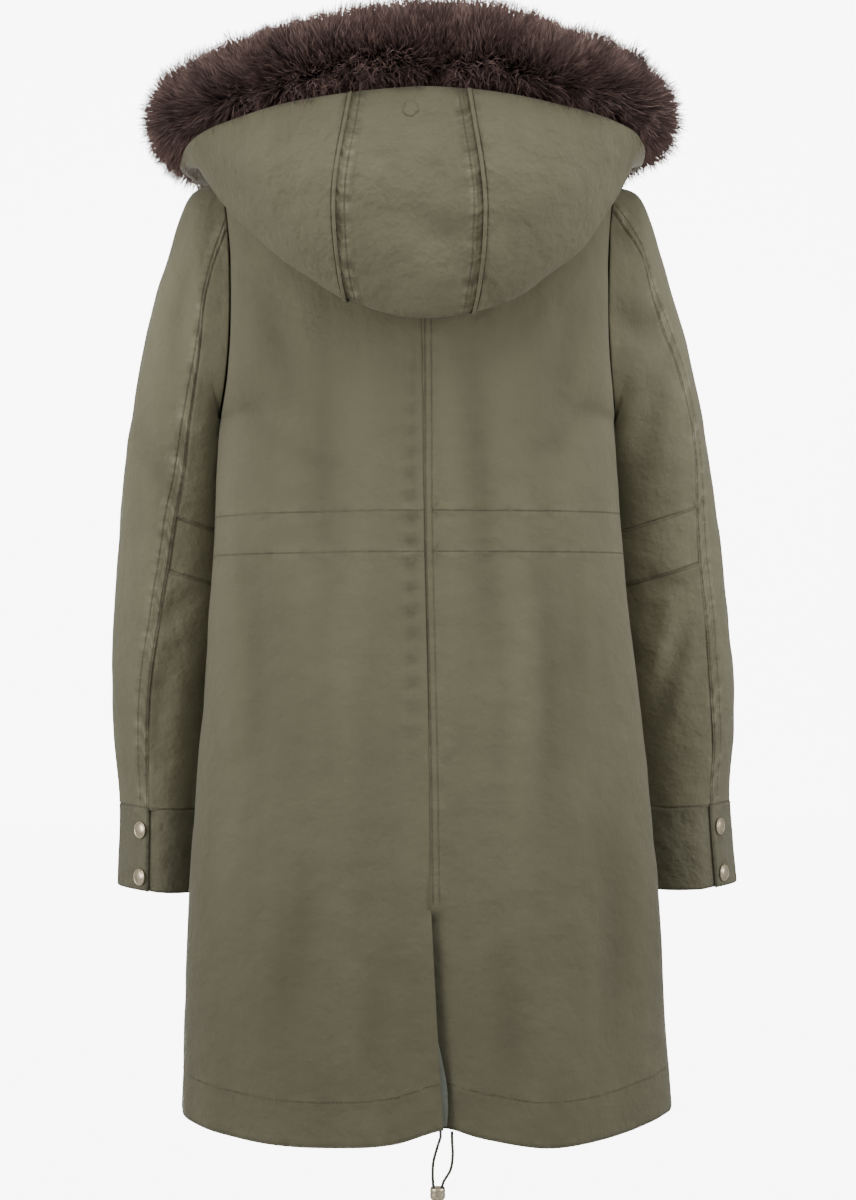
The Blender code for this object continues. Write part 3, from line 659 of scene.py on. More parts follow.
@dataclass(frozen=True)
class TwillFinish:
    """Washed cotton twill, its colour lifted on raised threads and puckers, with painted shade in its
    stitched grooves, its fold troughs, round the studs' bumps and towards the hem.
    """

    name: str = "washed_olive_twill"
    colour: tuple[float, float, float] = (0.165, 0.154, 0.096)
    wear: float = 0.34
    pucker_height: float = 0.0016
    crumple: float = 2.6
    # How much painted shade darkens the groove along a stitched or seamed line.
    line_shade: float = 0.30
    pale: tuple[float, float, float, float] = (0.29, 0.275, 0.20, 1.0)
    pucker_reach: tuple[float, float] = (0.0015, 0.0080)
    groove_reach: tuple[float, float] = (0.0001, 0.0012)
    pucker_scale: tuple[float, float] = (105.0, 26.0)
    twill_turn: float = 58.0
    twill_scale: float = 420.0
    # Painted shade: the colour is scaled from fade[0] at the lower height to fade[1] at the upper one, so it
    # is darker towards the hem.
    hem_shade_heights: tuple[float, float] = (-0.90, -0.15)
    fade: tuple[float, float] = (0.74, 1.04)
    fold_shade: float = 0.45
    height: float = 0.002

    def material(self) -> bpy.types.Material:
        """Builds the cloth's material from the piece's own seam distances and flat coordinates."""
        s = Surface(self.name)
        off, along = s.attribute("seam_off"), s.attribute("seam_along")
        body = s.place()
        near = s.ramp(off, *self.pucker_reach, 1.0, 0.0) * s.attribute("pucker")
        press = s.ramp(s.attribute("stud_close"), 0.36, 0.52)
        run, rise = self.pucker_scale
        puckers = s.noise(s.joined(along * run, off * rise, 0.3), 1.0, 2.0, 0.55)
        groove = s.ramp(off, *self.groove_reach, 1.0, 0.0)
        mottle = s.noise(body, 9.0, 3.0, 0.55)
        streak = s.noise(s.place((26.0, 26.0, 3.5)), 1.0, 3.0, 0.5)
        crumple = s.noise(body, 30.0, 4.0, 0.55)
        grain = s.noise(body, 900.0, 1.0, 0.5)
        twill = s.wave(s.place((1, 1, 1), math.radians(self.twill_turn), flat=True), self.twill_scale, 0.6)
        light = 0.72 + mottle * 0.26 + streak * 0.28 + grain * 0.06
        worn = (puckers - 0.5) * near * self.wear * 3.4
        # Painted shade in a ring round the bump that each hood stud raises in the cloth.
        ring = press * (1.0 - press) * 0.70
        # Painted shade: the colour is darkened in the groove along each stitched or seamed line.
        light = light + worn - groove * self.line_shade - ring
        height_z = Wire(s, s.node("ShaderNodeSeparateXYZ", None, {0: body}).outputs["Z"])
        # Painted shade, darker towards the hem than at the shoulders.
        light = light * s.ramp(height_z, *self.hem_shade_heights, *self.fade)
        # Painted shade from the piece's shade attribute, in fold troughs and under the vent's flap.
        colour = s.shaded((*self.colour,), light * (1.0 - s.attribute("shade") * self.fold_shade))
        pale = s.blend(s.ramp(puckers * near, 0.48, 0.70, 0.0, 0.30), colour, self.pale)
        height = puckers * near * (self.pucker_height / self.height)
        height = height + crumple * self.crumple + press * 0.5 + twill * 0.035 + grain * 0.03 - groove * 0.24
        s.set(Base_Color=pale, Roughness=0.82 + grain * 0.12 - 0.04, Specular_IOR_Level=0.22)
        s.set(Sheen_Weight=0.10, Sheen_Roughness=0.5)
        s.bump(height, self.height)
        return s.material


@dataclass(frozen=True)
class ThreadFinish:
    """Matt sewing thread or braid, with a fine twist."""

    name: str = "olive_thread"
    colour: tuple[float, float, float] = (0.150, 0.138, 0.088)
    twist: float = 1500.0
    roughness: float = 0.75

    def material(self) -> bpy.types.Material:
        """Builds the thread's material."""
        s = Surface(self.name)
        twist = s.noise(s.place(), self.twist, 1.0)
        s.set(Base_Color=s.shaded((*self.colour,), 0.75 + twist * 0.5), Roughness=self.roughness)
        s.bump(twist, 0.0003, 0.7)
        return s.material


@dataclass(frozen=True)
class MetalFinish:
    """Antique brass, darker in random patches and softly scratched."""

    name: str = "antique_brass"
    colour: tuple[float, float, float] = (0.70, 0.60, 0.44)
    dark: tuple[float, float, float] = (0.26, 0.21, 0.145)

    def material(self) -> bpy.types.Material:
        """Builds the metal's material."""
        s = Surface(self.name)
        stain = s.noise(s.place(), 260.0, 3.0, 0.6)
        scratch = s.noise(s.place((300.0, 1800.0, 300.0)), 1.0, 2.0)
        mask = s.ramp(stain, 0.42, 0.66)
        colour = s.blend(mask * 0.6, (*self.colour, 1.0), (*self.dark, 1.0))
        s.set(Base_Color=colour, Metallic=1.0, Roughness=0.28 + mask * 0.22 + scratch * 0.10)
        s.bump(scratch, 0.0001, 0.4)
        return s.material


@dataclass(frozen=True)
class FurFinish:
    """Soft dark brown fur, from nearly black roots to fine lighter tips."""

    name: str = "brown_fur"
    root: tuple[float, float, float] = (0.034, 0.021, 0.0195)
    middle: tuple[float, float, float] = (0.135, 0.082, 0.072)
    tip: tuple[float, float, float] = (0.40, 0.255, 0.215)
    pile_share: float = 0.62

    def material(self) -> bpy.types.Material:
        """Builds the hair's material from its place along each hair and each hair's own tint."""
        s = Surface(self.name)
        along, tint = s.attribute("along"), s.attribute("tint")
        patch = s.noise(s.place(), 38.0, 2.0)
        body = s.blend(s.ramp(along, 0.05, 0.55), (*self.root, 1.0), (*self.middle, 1.0))
        tips = s.ramp(along, 0.55, 1.0) * s.ramp(tint + patch * 0.5, 0.35, 1.15)
        colour = s.blend(tips, body, (*self.tip, 1.0))
        s.set(Base_Color=s.shaded(colour, 0.75 + tint * 0.5), Roughness=0.62, Specular_IOR_Level=0.25)
        pile = s.node("ShaderNodeAttribute", {"attribute_name": "pile"}).outputs["Vector"]
        true = s.node("ShaderNodeNewGeometry").outputs["Normal"]
        mixed = s.node("ShaderNodeMix", {"data_type": "VECTOR"})
        for index, value in ((0, self.pile_share), (4, true), (5, pile)):
            s.link(value, mixed.inputs[index])
        s.set(Normal=s.vector("NORMALIZE", mixed.outputs[1]))
        return s.material


@dataclass(frozen=True)
class SkinFinish:
    """The fur's dark backing, seen only between the hairs."""

    name: str = "fur_backing"
    colour: tuple[float, float, float] = (0.012, 0.008, 0.0075)

    def material(self) -> bpy.types.Material:
        """Builds the backing's material."""
        s = Surface(self.name)
        pile = s.noise(s.place(), 420.0, 3.0, 0.7)
        s.set(Base_Color=s.shaded((*self.colour,), 0.6 + pile * 0.9), Roughness=0.95, Specular_IOR_Level=0.1)
        s.bump(pile, 0.003)
        return s.material


class Finishes:
    """Every finish's material, made once."""

    def __init__(self) -> None:
        """Builds the materials."""
        self.twill = TwillFinish().material()
        self.hood = TwillFinish(
            name="washed_olive_twill_hood", wear=0.62, pucker_height=0.0022, crumple=5.0, line_shade=0.12,
        ).material()
        self.sleeve = TwillFinish(
            name="washed_olive_twill_sleeve", colour=(0.190, 0.178, 0.113), wear=0.40, crumple=3.0,
        ).material()
        self.cuff = TwillFinish(
            name="washed_olive_twill_cuff", colour=(0.160, 0.151, 0.099), wear=0.42,
            pucker_height=0.0019, crumple=4.2,
        ).material()
        self.facing = TwillFinish(
            name="pale_facing", colour=(0.190, 0.205, 0.165), wear=0.10, pucker_height=0.0006, crumple=0.8,
        ).material()
        self.thread = ThreadFinish().material()
        self.cord = ThreadFinish(
            name="green_braid", colour=(0.050, 0.051, 0.038), twist=1100.0, roughness=0.8,
        ).material()
        self.metal = MetalFinish().material()
        self.fur = FurFinish().material()
        self.backing = SkinFinish().material()


# ---------------------------------------------------------------- making meshes

def linked(name: str, data: bpy.types.ID) -> bpy.types.Object:
    """A new object of that data, in the scene."""
    made = bpy.data.objects.new(name, data)
    bpy.context.scene.collection.objects.link(made)
    return made


def keep_values(mesh: bpy.types.Mesh, name: str, values: Array) -> None:
    """Keeps one number or vector for each vertex under a name."""
    vector = values.ndim == 2
    attribute = mesh.attributes.new(name, "FLOAT_VECTOR" if vector else "FLOAT", "POINT")
    attribute.data.foreach_set("vector" if vector else "value", values.astype(np.float32).ravel())


def grid_mesh(name: str, points: Array, closed: bool = False) -> bpy.types.Mesh:
    """A mesh from rows and columns of points, closed round the columns and capped where asked."""
    rows, columns = points.shape[:2]
    index = np.arange(rows * columns).reshape(rows, columns)
    if closed:
        index = np.concatenate([index, index[:, :1]], axis=1)
    quads = np.stack([index[:-1, :-1], index[:-1, 1:], index[1:, 1:], index[1:, :-1]], axis=-1).reshape(-1, 4)
    faces = quads.tolist()
    if closed:
        faces += [index[0, :-1][::-1].tolist(), index[-1, :-1].tolist()]
    mesh = bpy.data.meshes.new(name)
    mesh.from_pydata(points.reshape(-1, 3).tolist(), [], faces)
    mesh.shade_smooth()
    return mesh


# A direction that no turned piece stands along, from which its first side is measured.
ASKEW = (0.31, 0.17, 0.93)


def turned_mesh(
    name: str, profile: list[tuple[float, float]], where: Array, axis: Array, steps: int = 36,
) -> bpy.types.Mesh:
    """A turned piece, standing at a point with its height along an axis.

    Args:
        name: the mesh's name.
        profile: radius and height of each ring, from the underside round to the top.
        where: the point that height 0 stands on.
        axis: the way its height runs.
        steps: how many sides it has.

    Returns:
        The closed mesh, in place.
    """
    axis = unit(np.array(axis, float))
    first = unit(np.cross(axis, ASKEW))
    second = np.cross(axis, first)
    turns = np.linspace(0, 2 * math.pi, steps, endpoint=False)
    ring = np.cos(turns)[:, None] * first + np.sin(turns)[:, None] * second
    points = np.array([where + radius * ring + height * axis for radius, height in profile])
    return grid_mesh(name, points, closed=True)


def run_lengths(points: Array, axis: int) -> Array:
    """The length run along one axis of a grid, at each point."""
    steps = np.linalg.norm(np.diff(points, axis=axis), axis=2)
    return np.insert(np.cumsum(steps, axis=axis), 0, 0.0, axis=axis)


def outward(points: Array) -> Array:
    """Unit normals of a grid, by its rows crossed with its columns."""
    return unit(np.cross(np.gradient(points, axis=1), np.gradient(points, axis=0)))


def spread(length: float, step: float, start: tuple[float, ...], end: tuple[float, ...]) -> Array:
    """Places along a row: marks near each end in metres, and even steps of about step between.

    Args:
        length: the row's usual length, which sets how many steps there are.
        step: the distance between the even places.
        start: places measured from the start.
        end: places measured back from the end.

    Returns:
        Each place as a pair: the share of the free length, and the fixed length added.
    """
    free = length - start[-1] - end[-1]
    count = max(2, round(free / step))
    shares = np.linspace(0, 1, count + 1)
    fixed = [(0.0, mark) for mark in start[:-1]]
    fixed += [(share, start[-1] - share * (start[-1] + end[-1])) for share in shares]
    fixed += [(1.0, -mark) for mark in reversed(end[:-1])]
    return np.array(fixed)


def set_out(line: Array, places: Array) -> Array:
    """Points of a line at the places that spread gives."""
    total = measured(line)[-1]
    return at_lengths(line, np.clip(places[:, 0] * total + places[:, 1], 0, total))


# ---------------------------------------------------------------- panels

# Close columns or rows beside a plain edge, beside one with two rows of stitching, and beside the
# centre back's, all measured in from the edge.
EDGE = (0.0, 0.0007, 0.0016, 0.0030, 0.0055)
STITCHED = (0.0, 0.0007, 0.0018, 0.0032, 0.0060, 0.0085, 0.0100, 0.0118, 0.0150)
CENTRE = (0.0, 0.0007, 0.0018, 0.0032, 0.0050, 0.0070, 0.0086, 0.0120)

# Where a row of edge stitching runs, where a plain seam draws the cloth, and the second row's place.
STITCH_IN = 0.0018
SEAM_IN = 0.0016
SECOND_IN = 0.0100

# How far a tucked edge runs on under its neighbour, and how deep it sinks.
TUCK = 0.0030
TUCK_DEPTH = 0.0018

# How much a level row puckers, how much painted shade darkens a fold's trough and the depth that
# does it in full, how wide a rolled edge is, and the distance past which a stitched line does not matter.
ROW_PUCKER = 0.30
FOLD_SHADE = 0.36
FULL_FOLD = 0.004
ROLL_WIDTH = 0.0026
FAR = 0.03


def point_in(points: Array, facing: Array, distance: float, from_end: bool) -> list[float]:
    """The place and the way out at a distance in from one end of a run of points."""
    if from_end:
        points, facing = points[::-1], facing[::-1]
    along = measured(points)
    return [np.interp(distance, along, values) for values in (*points.T, *facing.T)]


@dataclass
class Crease:
    """One soft trough or ridge, along a bent line seen from the back or the front."""

    face: Face
    path: tuple[tuple[float, float], ...]
    width: float
    depth: float

    def at(self, points: Array, facing: Array) -> Array:
        """How far each point moves out; troughs have a positive depth and move in."""
        knots = np.array(self.path, float)
        t = np.linspace(0, 1, 21)[:, None]
        guide = 2 * knots[1] - (knots[0] + knots[2]) / 2
        line = (1 - t) ** 2 * knots[0] + 2 * t * (1 - t) * guide + t * t * knots[2]
        flat = points[..., [0, 2]]
        low, high = line.min(axis=0) - 3 * self.width, line.max(axis=0) + 3 * self.width
        inside = ((flat > low) & (flat < high)).all(axis=-1)
        moved = np.zeros(points.shape[:-1])
        if inside.any():
            away = np.linalg.norm(flat[inside][:, None, :] - line[None], axis=2)
            nearest = away.argmin(axis=1)
            along = t[nearest, 0]
            fade = np.sin(np.pi * np.clip(along * 0.92 + 0.04, 0, 1)) ** 0.7
            side = ease(facing[..., 1][inside] * self.face.value * 2.0)
            moved[inside] = -self.depth * np.exp(-((away.min(axis=1) / self.width) ** 2)) * fade * side
        return moved


@dataclass
class Panel:
    """One cut piece of cloth: its form, its stitched lines and its finish."""

    name: str
    nodes: tuple[str, ...]
    grid: Array
    finish: bpy.types.Material
    flip: bool = False
    rolled: tuple[bool, bool, bool, bool] = (True, True, True, True)
    tucked: tuple[bool, bool, bool, bool] = (False, False, False, False)
    thickness: float = 0.0013
    lift: float = 0.0003
    roll: float = 0.0007
    creases: tuple[Crease, ...] = ()
    crumple: float = 0.0009
    # Painted shade at each point of the grid, kept as the piece's shade attribute.
    dark: Array | None = None
    seed: int = 1
    lines: list = field(default_factory=list)

    def shape(self) -> None:
        """Moves the grid by its creases, its crumple and its rolled edges, paints shade into its folds and
        finds its normals.
        """
        if self.dark is None:
            self.dark = np.zeros(self.grid.shape[:2])
        sunk = self.run_under()
        points = self.grid
        sign = -1.0 if self.flip else 1.0
        facing = outward(points) * sign
        noise, fine = Noise(self.seed), Noise(self.seed + 50)
        height = self.lift + self.crumple * noise.at(points, (0.036, 0.036, 0.060))
        height = height + self.crumple * 0.5 * fine.at(points, (0.016, 0.016, 0.022))
        folds = sum((crease.at(points, facing) for crease in self.creases), np.zeros(height.shape))
        height = height + folds
        # Painted shade: the colour is darkened in the creases' troughs and lightened a little on their
        # ridges.
        self.dark = self.dark + FOLD_SHADE * np.clip(-folds / FULL_FOLD, -0.7, 1.0)
        height = height - self.roll * self.edge_share() - sunk
        self.grid = points + facing * height[..., None]
        self.facing = outward(self.grid) * sign

    def run_under(self) -> Array:
        """Runs the tucked edges on by the seam's allowance, and finds how far each point sinks."""
        sunk = np.zeros(self.grid.shape[:2])
        for edge, tucked in enumerate(self.tucked):
            if not tucked:
                continue
            turned = edge > 1
            layers = [layer.swapaxes(0, 1) if turned else layer for layer in (self.grid, self.dark, sunk)]
            if edge % 2:
                layers = [layer[:, ::-1] for layer in layers]
            grid, dark, low = layers
            way = unit(grid[:, 0] - grid[:, 3])
            extra = np.stack([grid[:, 0] + way * TUCK, grid[:, 0] + way * TUCK * 0.35], axis=1)
            grid = np.concatenate([extra, grid], axis=1)
            dark = np.concatenate([dark[:, :1], dark[:, :1], dark], axis=1)
            low = np.concatenate([np.full((len(low), 2), TUCK_DEPTH), low], axis=1)
            layers = [grid, dark, low]
            if edge % 2:
                layers = [layer[:, ::-1] for layer in layers]
            self.grid, self.dark, sunk = [layer.swapaxes(0, 1) if turned else layer for layer in layers]
        return sunk

    def inset(self, edge: int, distance: float) -> float:
        """A distance in from a seam as a distance in from the grid's edge."""
        return distance + TUCK if self.tucked[edge] else distance

    def edge_share(self) -> Array:
        """How far each point is rolled under, from 1 at a rolled edge to 0 past the roll's width."""
        share = np.zeros(self.grid.shape[:2])
        row, column = run_lengths(self.grid, 0), run_lengths(self.grid, 1)
        distances = (column, column[:, -1:] - column, row, row[-1:] - row)
        for rolled, tucked, distance in zip(self.rolled, self.tucked, distances):
            if rolled and not tucked:
                share = np.maximum(share, (1 - np.clip(distance / ROLL_WIDTH, 0, 1)) ** 2)
        return share

    def column_line(
        self, distance: float, from_end: bool = False, rows: slice = slice(None), stitched: bool = True,
        pucker: float = 0.40,
    ) -> None:
        """Adds a stitched line along the rows' ends, that distance in from an edge."""
        distance = self.inset(int(from_end), distance)
        runs = zip(self.grid[rows], self.facing[rows])
        line = [point_in(points, facing, distance, from_end) for points, facing in runs]
        self.lines.append((np.array(line), stitched, pucker))

    def row_line(
        self, distance: float, from_end: bool = False, columns: slice = slice(None), stitched: bool = True,
    ) -> None:
        """Adds a stitched line across the columns, that distance in from the first or last row."""
        distance = self.inset(2 + int(from_end), distance)
        picked = range(self.grid.shape[1])[columns]
        line = [point_in(self.grid[:, j], self.facing[:, j], distance, from_end) for j in picked]
        self.lines.append((np.array(line), stitched, ROW_PUCKER))

    def level_line(self, z: Array | float, columns: slice = slice(None)) -> None:
        """Adds a stitched line across the columns at a height, or a height for each column."""
        picked = []
        heights = np.broadcast_to(z, (self.grid.shape[1],))
        for j in range(self.grid.shape[1])[columns]:
            column = np.concatenate([self.grid[:, j], self.facing[:, j]], axis=1)
            order = np.argsort(column[:, 2])
            picked.append([np.interp(heights[j], column[order, 2], column[order, k]) for k in range(6)])
        self.lines.append((np.array(picked), True, ROW_PUCKER))

    def build(self) -> bpy.types.Object:
        """Makes the piece, with its flat coordinates and its distances from the stitched lines."""
        grid = self.grid[:, ::-1] if self.flip else self.grid
        mesh = grid_mesh(self.name, grid)
        mesh.materials.append(self.finish)
        for name, value in zip(("seam_off", "seam_along", "pucker"), self.seam_values(grid.reshape(-1, 3))):
            keep_values(mesh, name, value)
        dark = self.dark[:, ::-1] if self.flip else self.dark
        keep_values(mesh, "shade", dark.ravel())
        across, down = run_lengths(grid, 1), run_lengths(grid, 0)
        centred = across - across[:, across.shape[1] // 2, None]
        flat = np.stack([centred, down], axis=-1).reshape(-1, 2)
        corners = np.zeros(len(mesh.loops), np.int32)
        mesh.loops.foreach_get("vertex_index", corners)
        mesh.uv_layers.new(name="flat").data.foreach_set("uv", flat[corners].astype(np.float32).ravel())
        made = linked(self.name, mesh)
        wall = made.modifiers.new("wall", "SOLIDIFY")
        wall.thickness = self.thickness
        wall.offset = -1.0
        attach(made, "root")
        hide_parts(*self.nodes)
        width = float(across[:, -1].mean())
        self.cut = (width, sum(face.area for face in mesh.polygons) / width)
        width, length = (1000 * size for size in self.cut)
        LOG.info("%s: cut about %.0f x %.0f mm, %d faces", self.name, width, length, len(mesh.polygons))
        return made

    def seam_values(self, points: Array) -> tuple[Array, Array, Array]:
        """Each point's distance from the nearest line, its length along it and that line's puckering."""
        samples, known = [], []
        for line, _, pucker in self.lines:
            total = measured(line[:, :3])
            dense = np.arange(0, total[-1], 0.0012)
            samples.append(np.stack([np.interp(dense, total, line[:, k]) for k in range(3)], axis=1))
            known.append(np.stack([dense, np.full(len(dense), pucker)], axis=1))
        if not samples:
            return np.full(len(points), FAR), np.zeros(len(points)), np.zeros(len(points))
        samples, known = np.concatenate(samples), np.concatenate(known)
        tree = KDTree(len(samples))
        for i, sample in enumerate(samples):
            tree.insert(sample, i)
        tree.balance()
        found = [tree.find(point)[1:] for point in points]
        near = np.array([nearest for nearest, _ in found])
        off = np.minimum([distance for _, distance in found], FAR)
        return off, known[near, 0], known[near, 1]


# ---------------------------------------------------------------- the coat's sub-assemblies

@dataclass
class Assembly:
    """A group of cloth panels built together."""

    form: Form
    finishes: Finishes
    panels: list = field(default_factory=list)

    def add(self, panel: Panel, core: Array, row: int | None = None) -> Panel:
        """Turns a panel to face away from a core point at one row, shapes it and keeps it."""
        centre = (len(panel.grid) // 2 if row is None else row, panel.grid.shape[1] // 2)
        panel.flip = bool(np.dot(outward(panel.grid)[centre], panel.grid[centre] - core) < 0)
        panel.shape()
        self.panels.append(panel)
        return panel

    def lines(self) -> list[Array]:
        """Every line that carries stitches."""
        return [line for panel in self.panels for line, stitched, _ in panel.lines if stitched]


def creases(face: Face, *rows: tuple[float, ...]) -> tuple[Crease, ...]:
    """Creases of one face from rows: x and z at the start, middle and end, then width and depth."""
    return tuple(Crease(face, (row[0:2], row[2:4], row[4:6]), *row[6:]) for row in rows)


BACK_CREASES = creases(
    Face.BACK,
    (-0.011, -0.180, -0.012, -0.360, -0.010, -0.560, 0.006, 0.0040),
    (0.040, -0.195, 0.046, -0.320, 0.056, -0.460, 0.012, 0.0052),
    (0.019, -0.200, 0.022, -0.330, 0.021, -0.480, 0.009, -0.0024),
    (-0.074, -0.200, -0.082, -0.310, -0.072, -0.430, 0.014, 0.0036),
    (0.098, -0.380, 0.104, -0.470, 0.100, -0.580, 0.011, 0.0034),
    (-0.150, -0.120, -0.120, -0.190, -0.105, -0.270, 0.016, 0.0040),
    (0.146, -0.130, 0.125, -0.200, 0.112, -0.290, 0.018, 0.0040),
    (-0.158, -0.230, -0.120, -0.275, -0.070, -0.300, 0.010, 0.0022),
    (0.150, -0.225, 0.120, -0.268, 0.080, -0.290, 0.010, 0.0022),
    (-0.155, -0.345, -0.140, -0.460, -0.150, -0.560, 0.014, 0.0040),
    (0.120, -0.370, 0.128, -0.460, 0.120, -0.560, 0.013, 0.0032),
    (-0.060, -0.370, -0.066, -0.470, -0.056, -0.600, 0.014, -0.0025),
    (0.075, -0.375, 0.082, -0.500, 0.076, -0.640, 0.016, -0.0029),
    (-0.095, -0.640, -0.112, -0.720, -0.120, -0.810, 0.018, 0.0043),
    (0.060, -0.690, 0.070, -0.760, 0.066, -0.830, 0.014, 0.0040),
    (-0.030, -0.700, -0.042, -0.760, -0.038, -0.820, 0.013, 0.0029),
    (0.150, -0.600, 0.160, -0.690, 0.150, -0.790, 0.014, 0.0036),
)
FRONT_CREASES = creases(
    Face.FRONT,
    (-0.140, -0.140, -0.110, -0.210, -0.100, -0.280, 0.016, 0.0040),
    (0.142, -0.150, 0.118, -0.205, 0.104, -0.270, 0.018, 0.0036),
    (-0.150, -0.240, -0.110, -0.285, -0.070, -0.300, 0.010, 0.0025),
    (0.155, -0.250, 0.120, -0.290, 0.090, -0.300, 0.010, 0.0022),
    (-0.130, -0.380, -0.118, -0.480, -0.126, -0.590, 0.014, 0.0036),
    (0.140, -0.390, 0.126, -0.500, 0.136, -0.610, 0.015, 0.0040),
    (-0.070, -0.560, -0.080, -0.680, -0.072, -0.800, 0.018, -0.0032),
    (0.090, -0.600, 0.100, -0.700, 0.088, -0.820, 0.017, 0.0040),
)
SLEEVE_CREASES = creases(
    Face.BACK,
    (-0.213, -0.105, -0.222, -0.150, -0.229, -0.205, 0.010, -0.0036),
    (-0.196, -0.110, -0.206, -0.160, -0.214, -0.215, 0.008, 0.0029),
    (-0.243, -0.255, -0.222, -0.300, -0.190, -0.325, 0.011, 0.0036),
    (-0.192, -0.395, -0.216, -0.420, -0.246, -0.430, 0.010, 0.0036),
    (-0.205, -0.440, -0.226, -0.500, -0.232, -0.560, 0.010, 0.0032),
    (0.163, -0.092, 0.174, -0.088, 0.186, -0.090, 0.008, 0.0032),
    (0.161, -0.150, 0.188, -0.170, 0.214, -0.180, 0.012, 0.0040),
    (0.212, -0.215, 0.200, -0.260, 0.196, -0.310, 0.011, 0.0029),
    (0.228, -0.405, 0.210, -0.466, 0.196, -0.514, 0.009, -0.0047),
    (0.240, -0.425, 0.224, -0.480, 0.212, -0.530, 0.008, 0.0036),
    (0.190, -0.378, 0.214, -0.392, 0.236, -0.390, 0.009, 0.0032),
) + creases(
    Face.FRONT,
    (-0.250, -0.270, -0.220, -0.310, -0.190, -0.320, 0.012, 0.0043),
    (-0.245, -0.350, -0.215, -0.352, -0.185, -0.335, 0.010, 0.0040),
    (-0.190, -0.400, -0.215, -0.450, -0.250, -0.470, 0.012, 0.0036),
    (0.255, -0.260, 0.225, -0.300, 0.192, -0.312, 0.012, 0.0043),
    (0.262, -0.345, 0.230, -0.350, 0.196, -0.332, 0.010, 0.0036),
    (0.200, -0.420, 0.230, -0.460, 0.262, -0.500, 0.012, 0.0040),
)
HOOD_CREASES = creases(
    Face.BACK,
    (-0.126, -0.112, -0.100, -0.107, -0.072, -0.112, 0.010, 0.0040),
    (-0.010, -0.098, 0.012, -0.112, 0.036, -0.106, 0.009, 0.0047),
    (0.036, -0.108, 0.062, -0.112, 0.090, -0.100, 0.010, 0.0040),
    (-0.116, -0.060, -0.106, -0.086, -0.096, -0.112, 0.011, -0.0040),
    (-0.050, -0.050, -0.046, -0.072, -0.052, -0.094, 0.010, -0.0032),
    (0.044, -0.048, 0.060, -0.040, 0.078, -0.022, 0.006, 0.0032),
    (0.050, -0.058, 0.070, -0.050, 0.092, -0.036, 0.006, -0.0025),
    (0.046, -0.060, 0.048, -0.076, 0.056, -0.092, 0.008, 0.0032),
    (-0.012, -0.130, 0.006, -0.142, 0.026, -0.140, 0.009, -0.0029),
    (-0.150, -0.050, -0.130, -0.070, -0.100, -0.080, 0.014, 0.0029),
    (0.105, -0.060, 0.130, -0.054, 0.152, -0.040, 0.012, 0.0029),
)


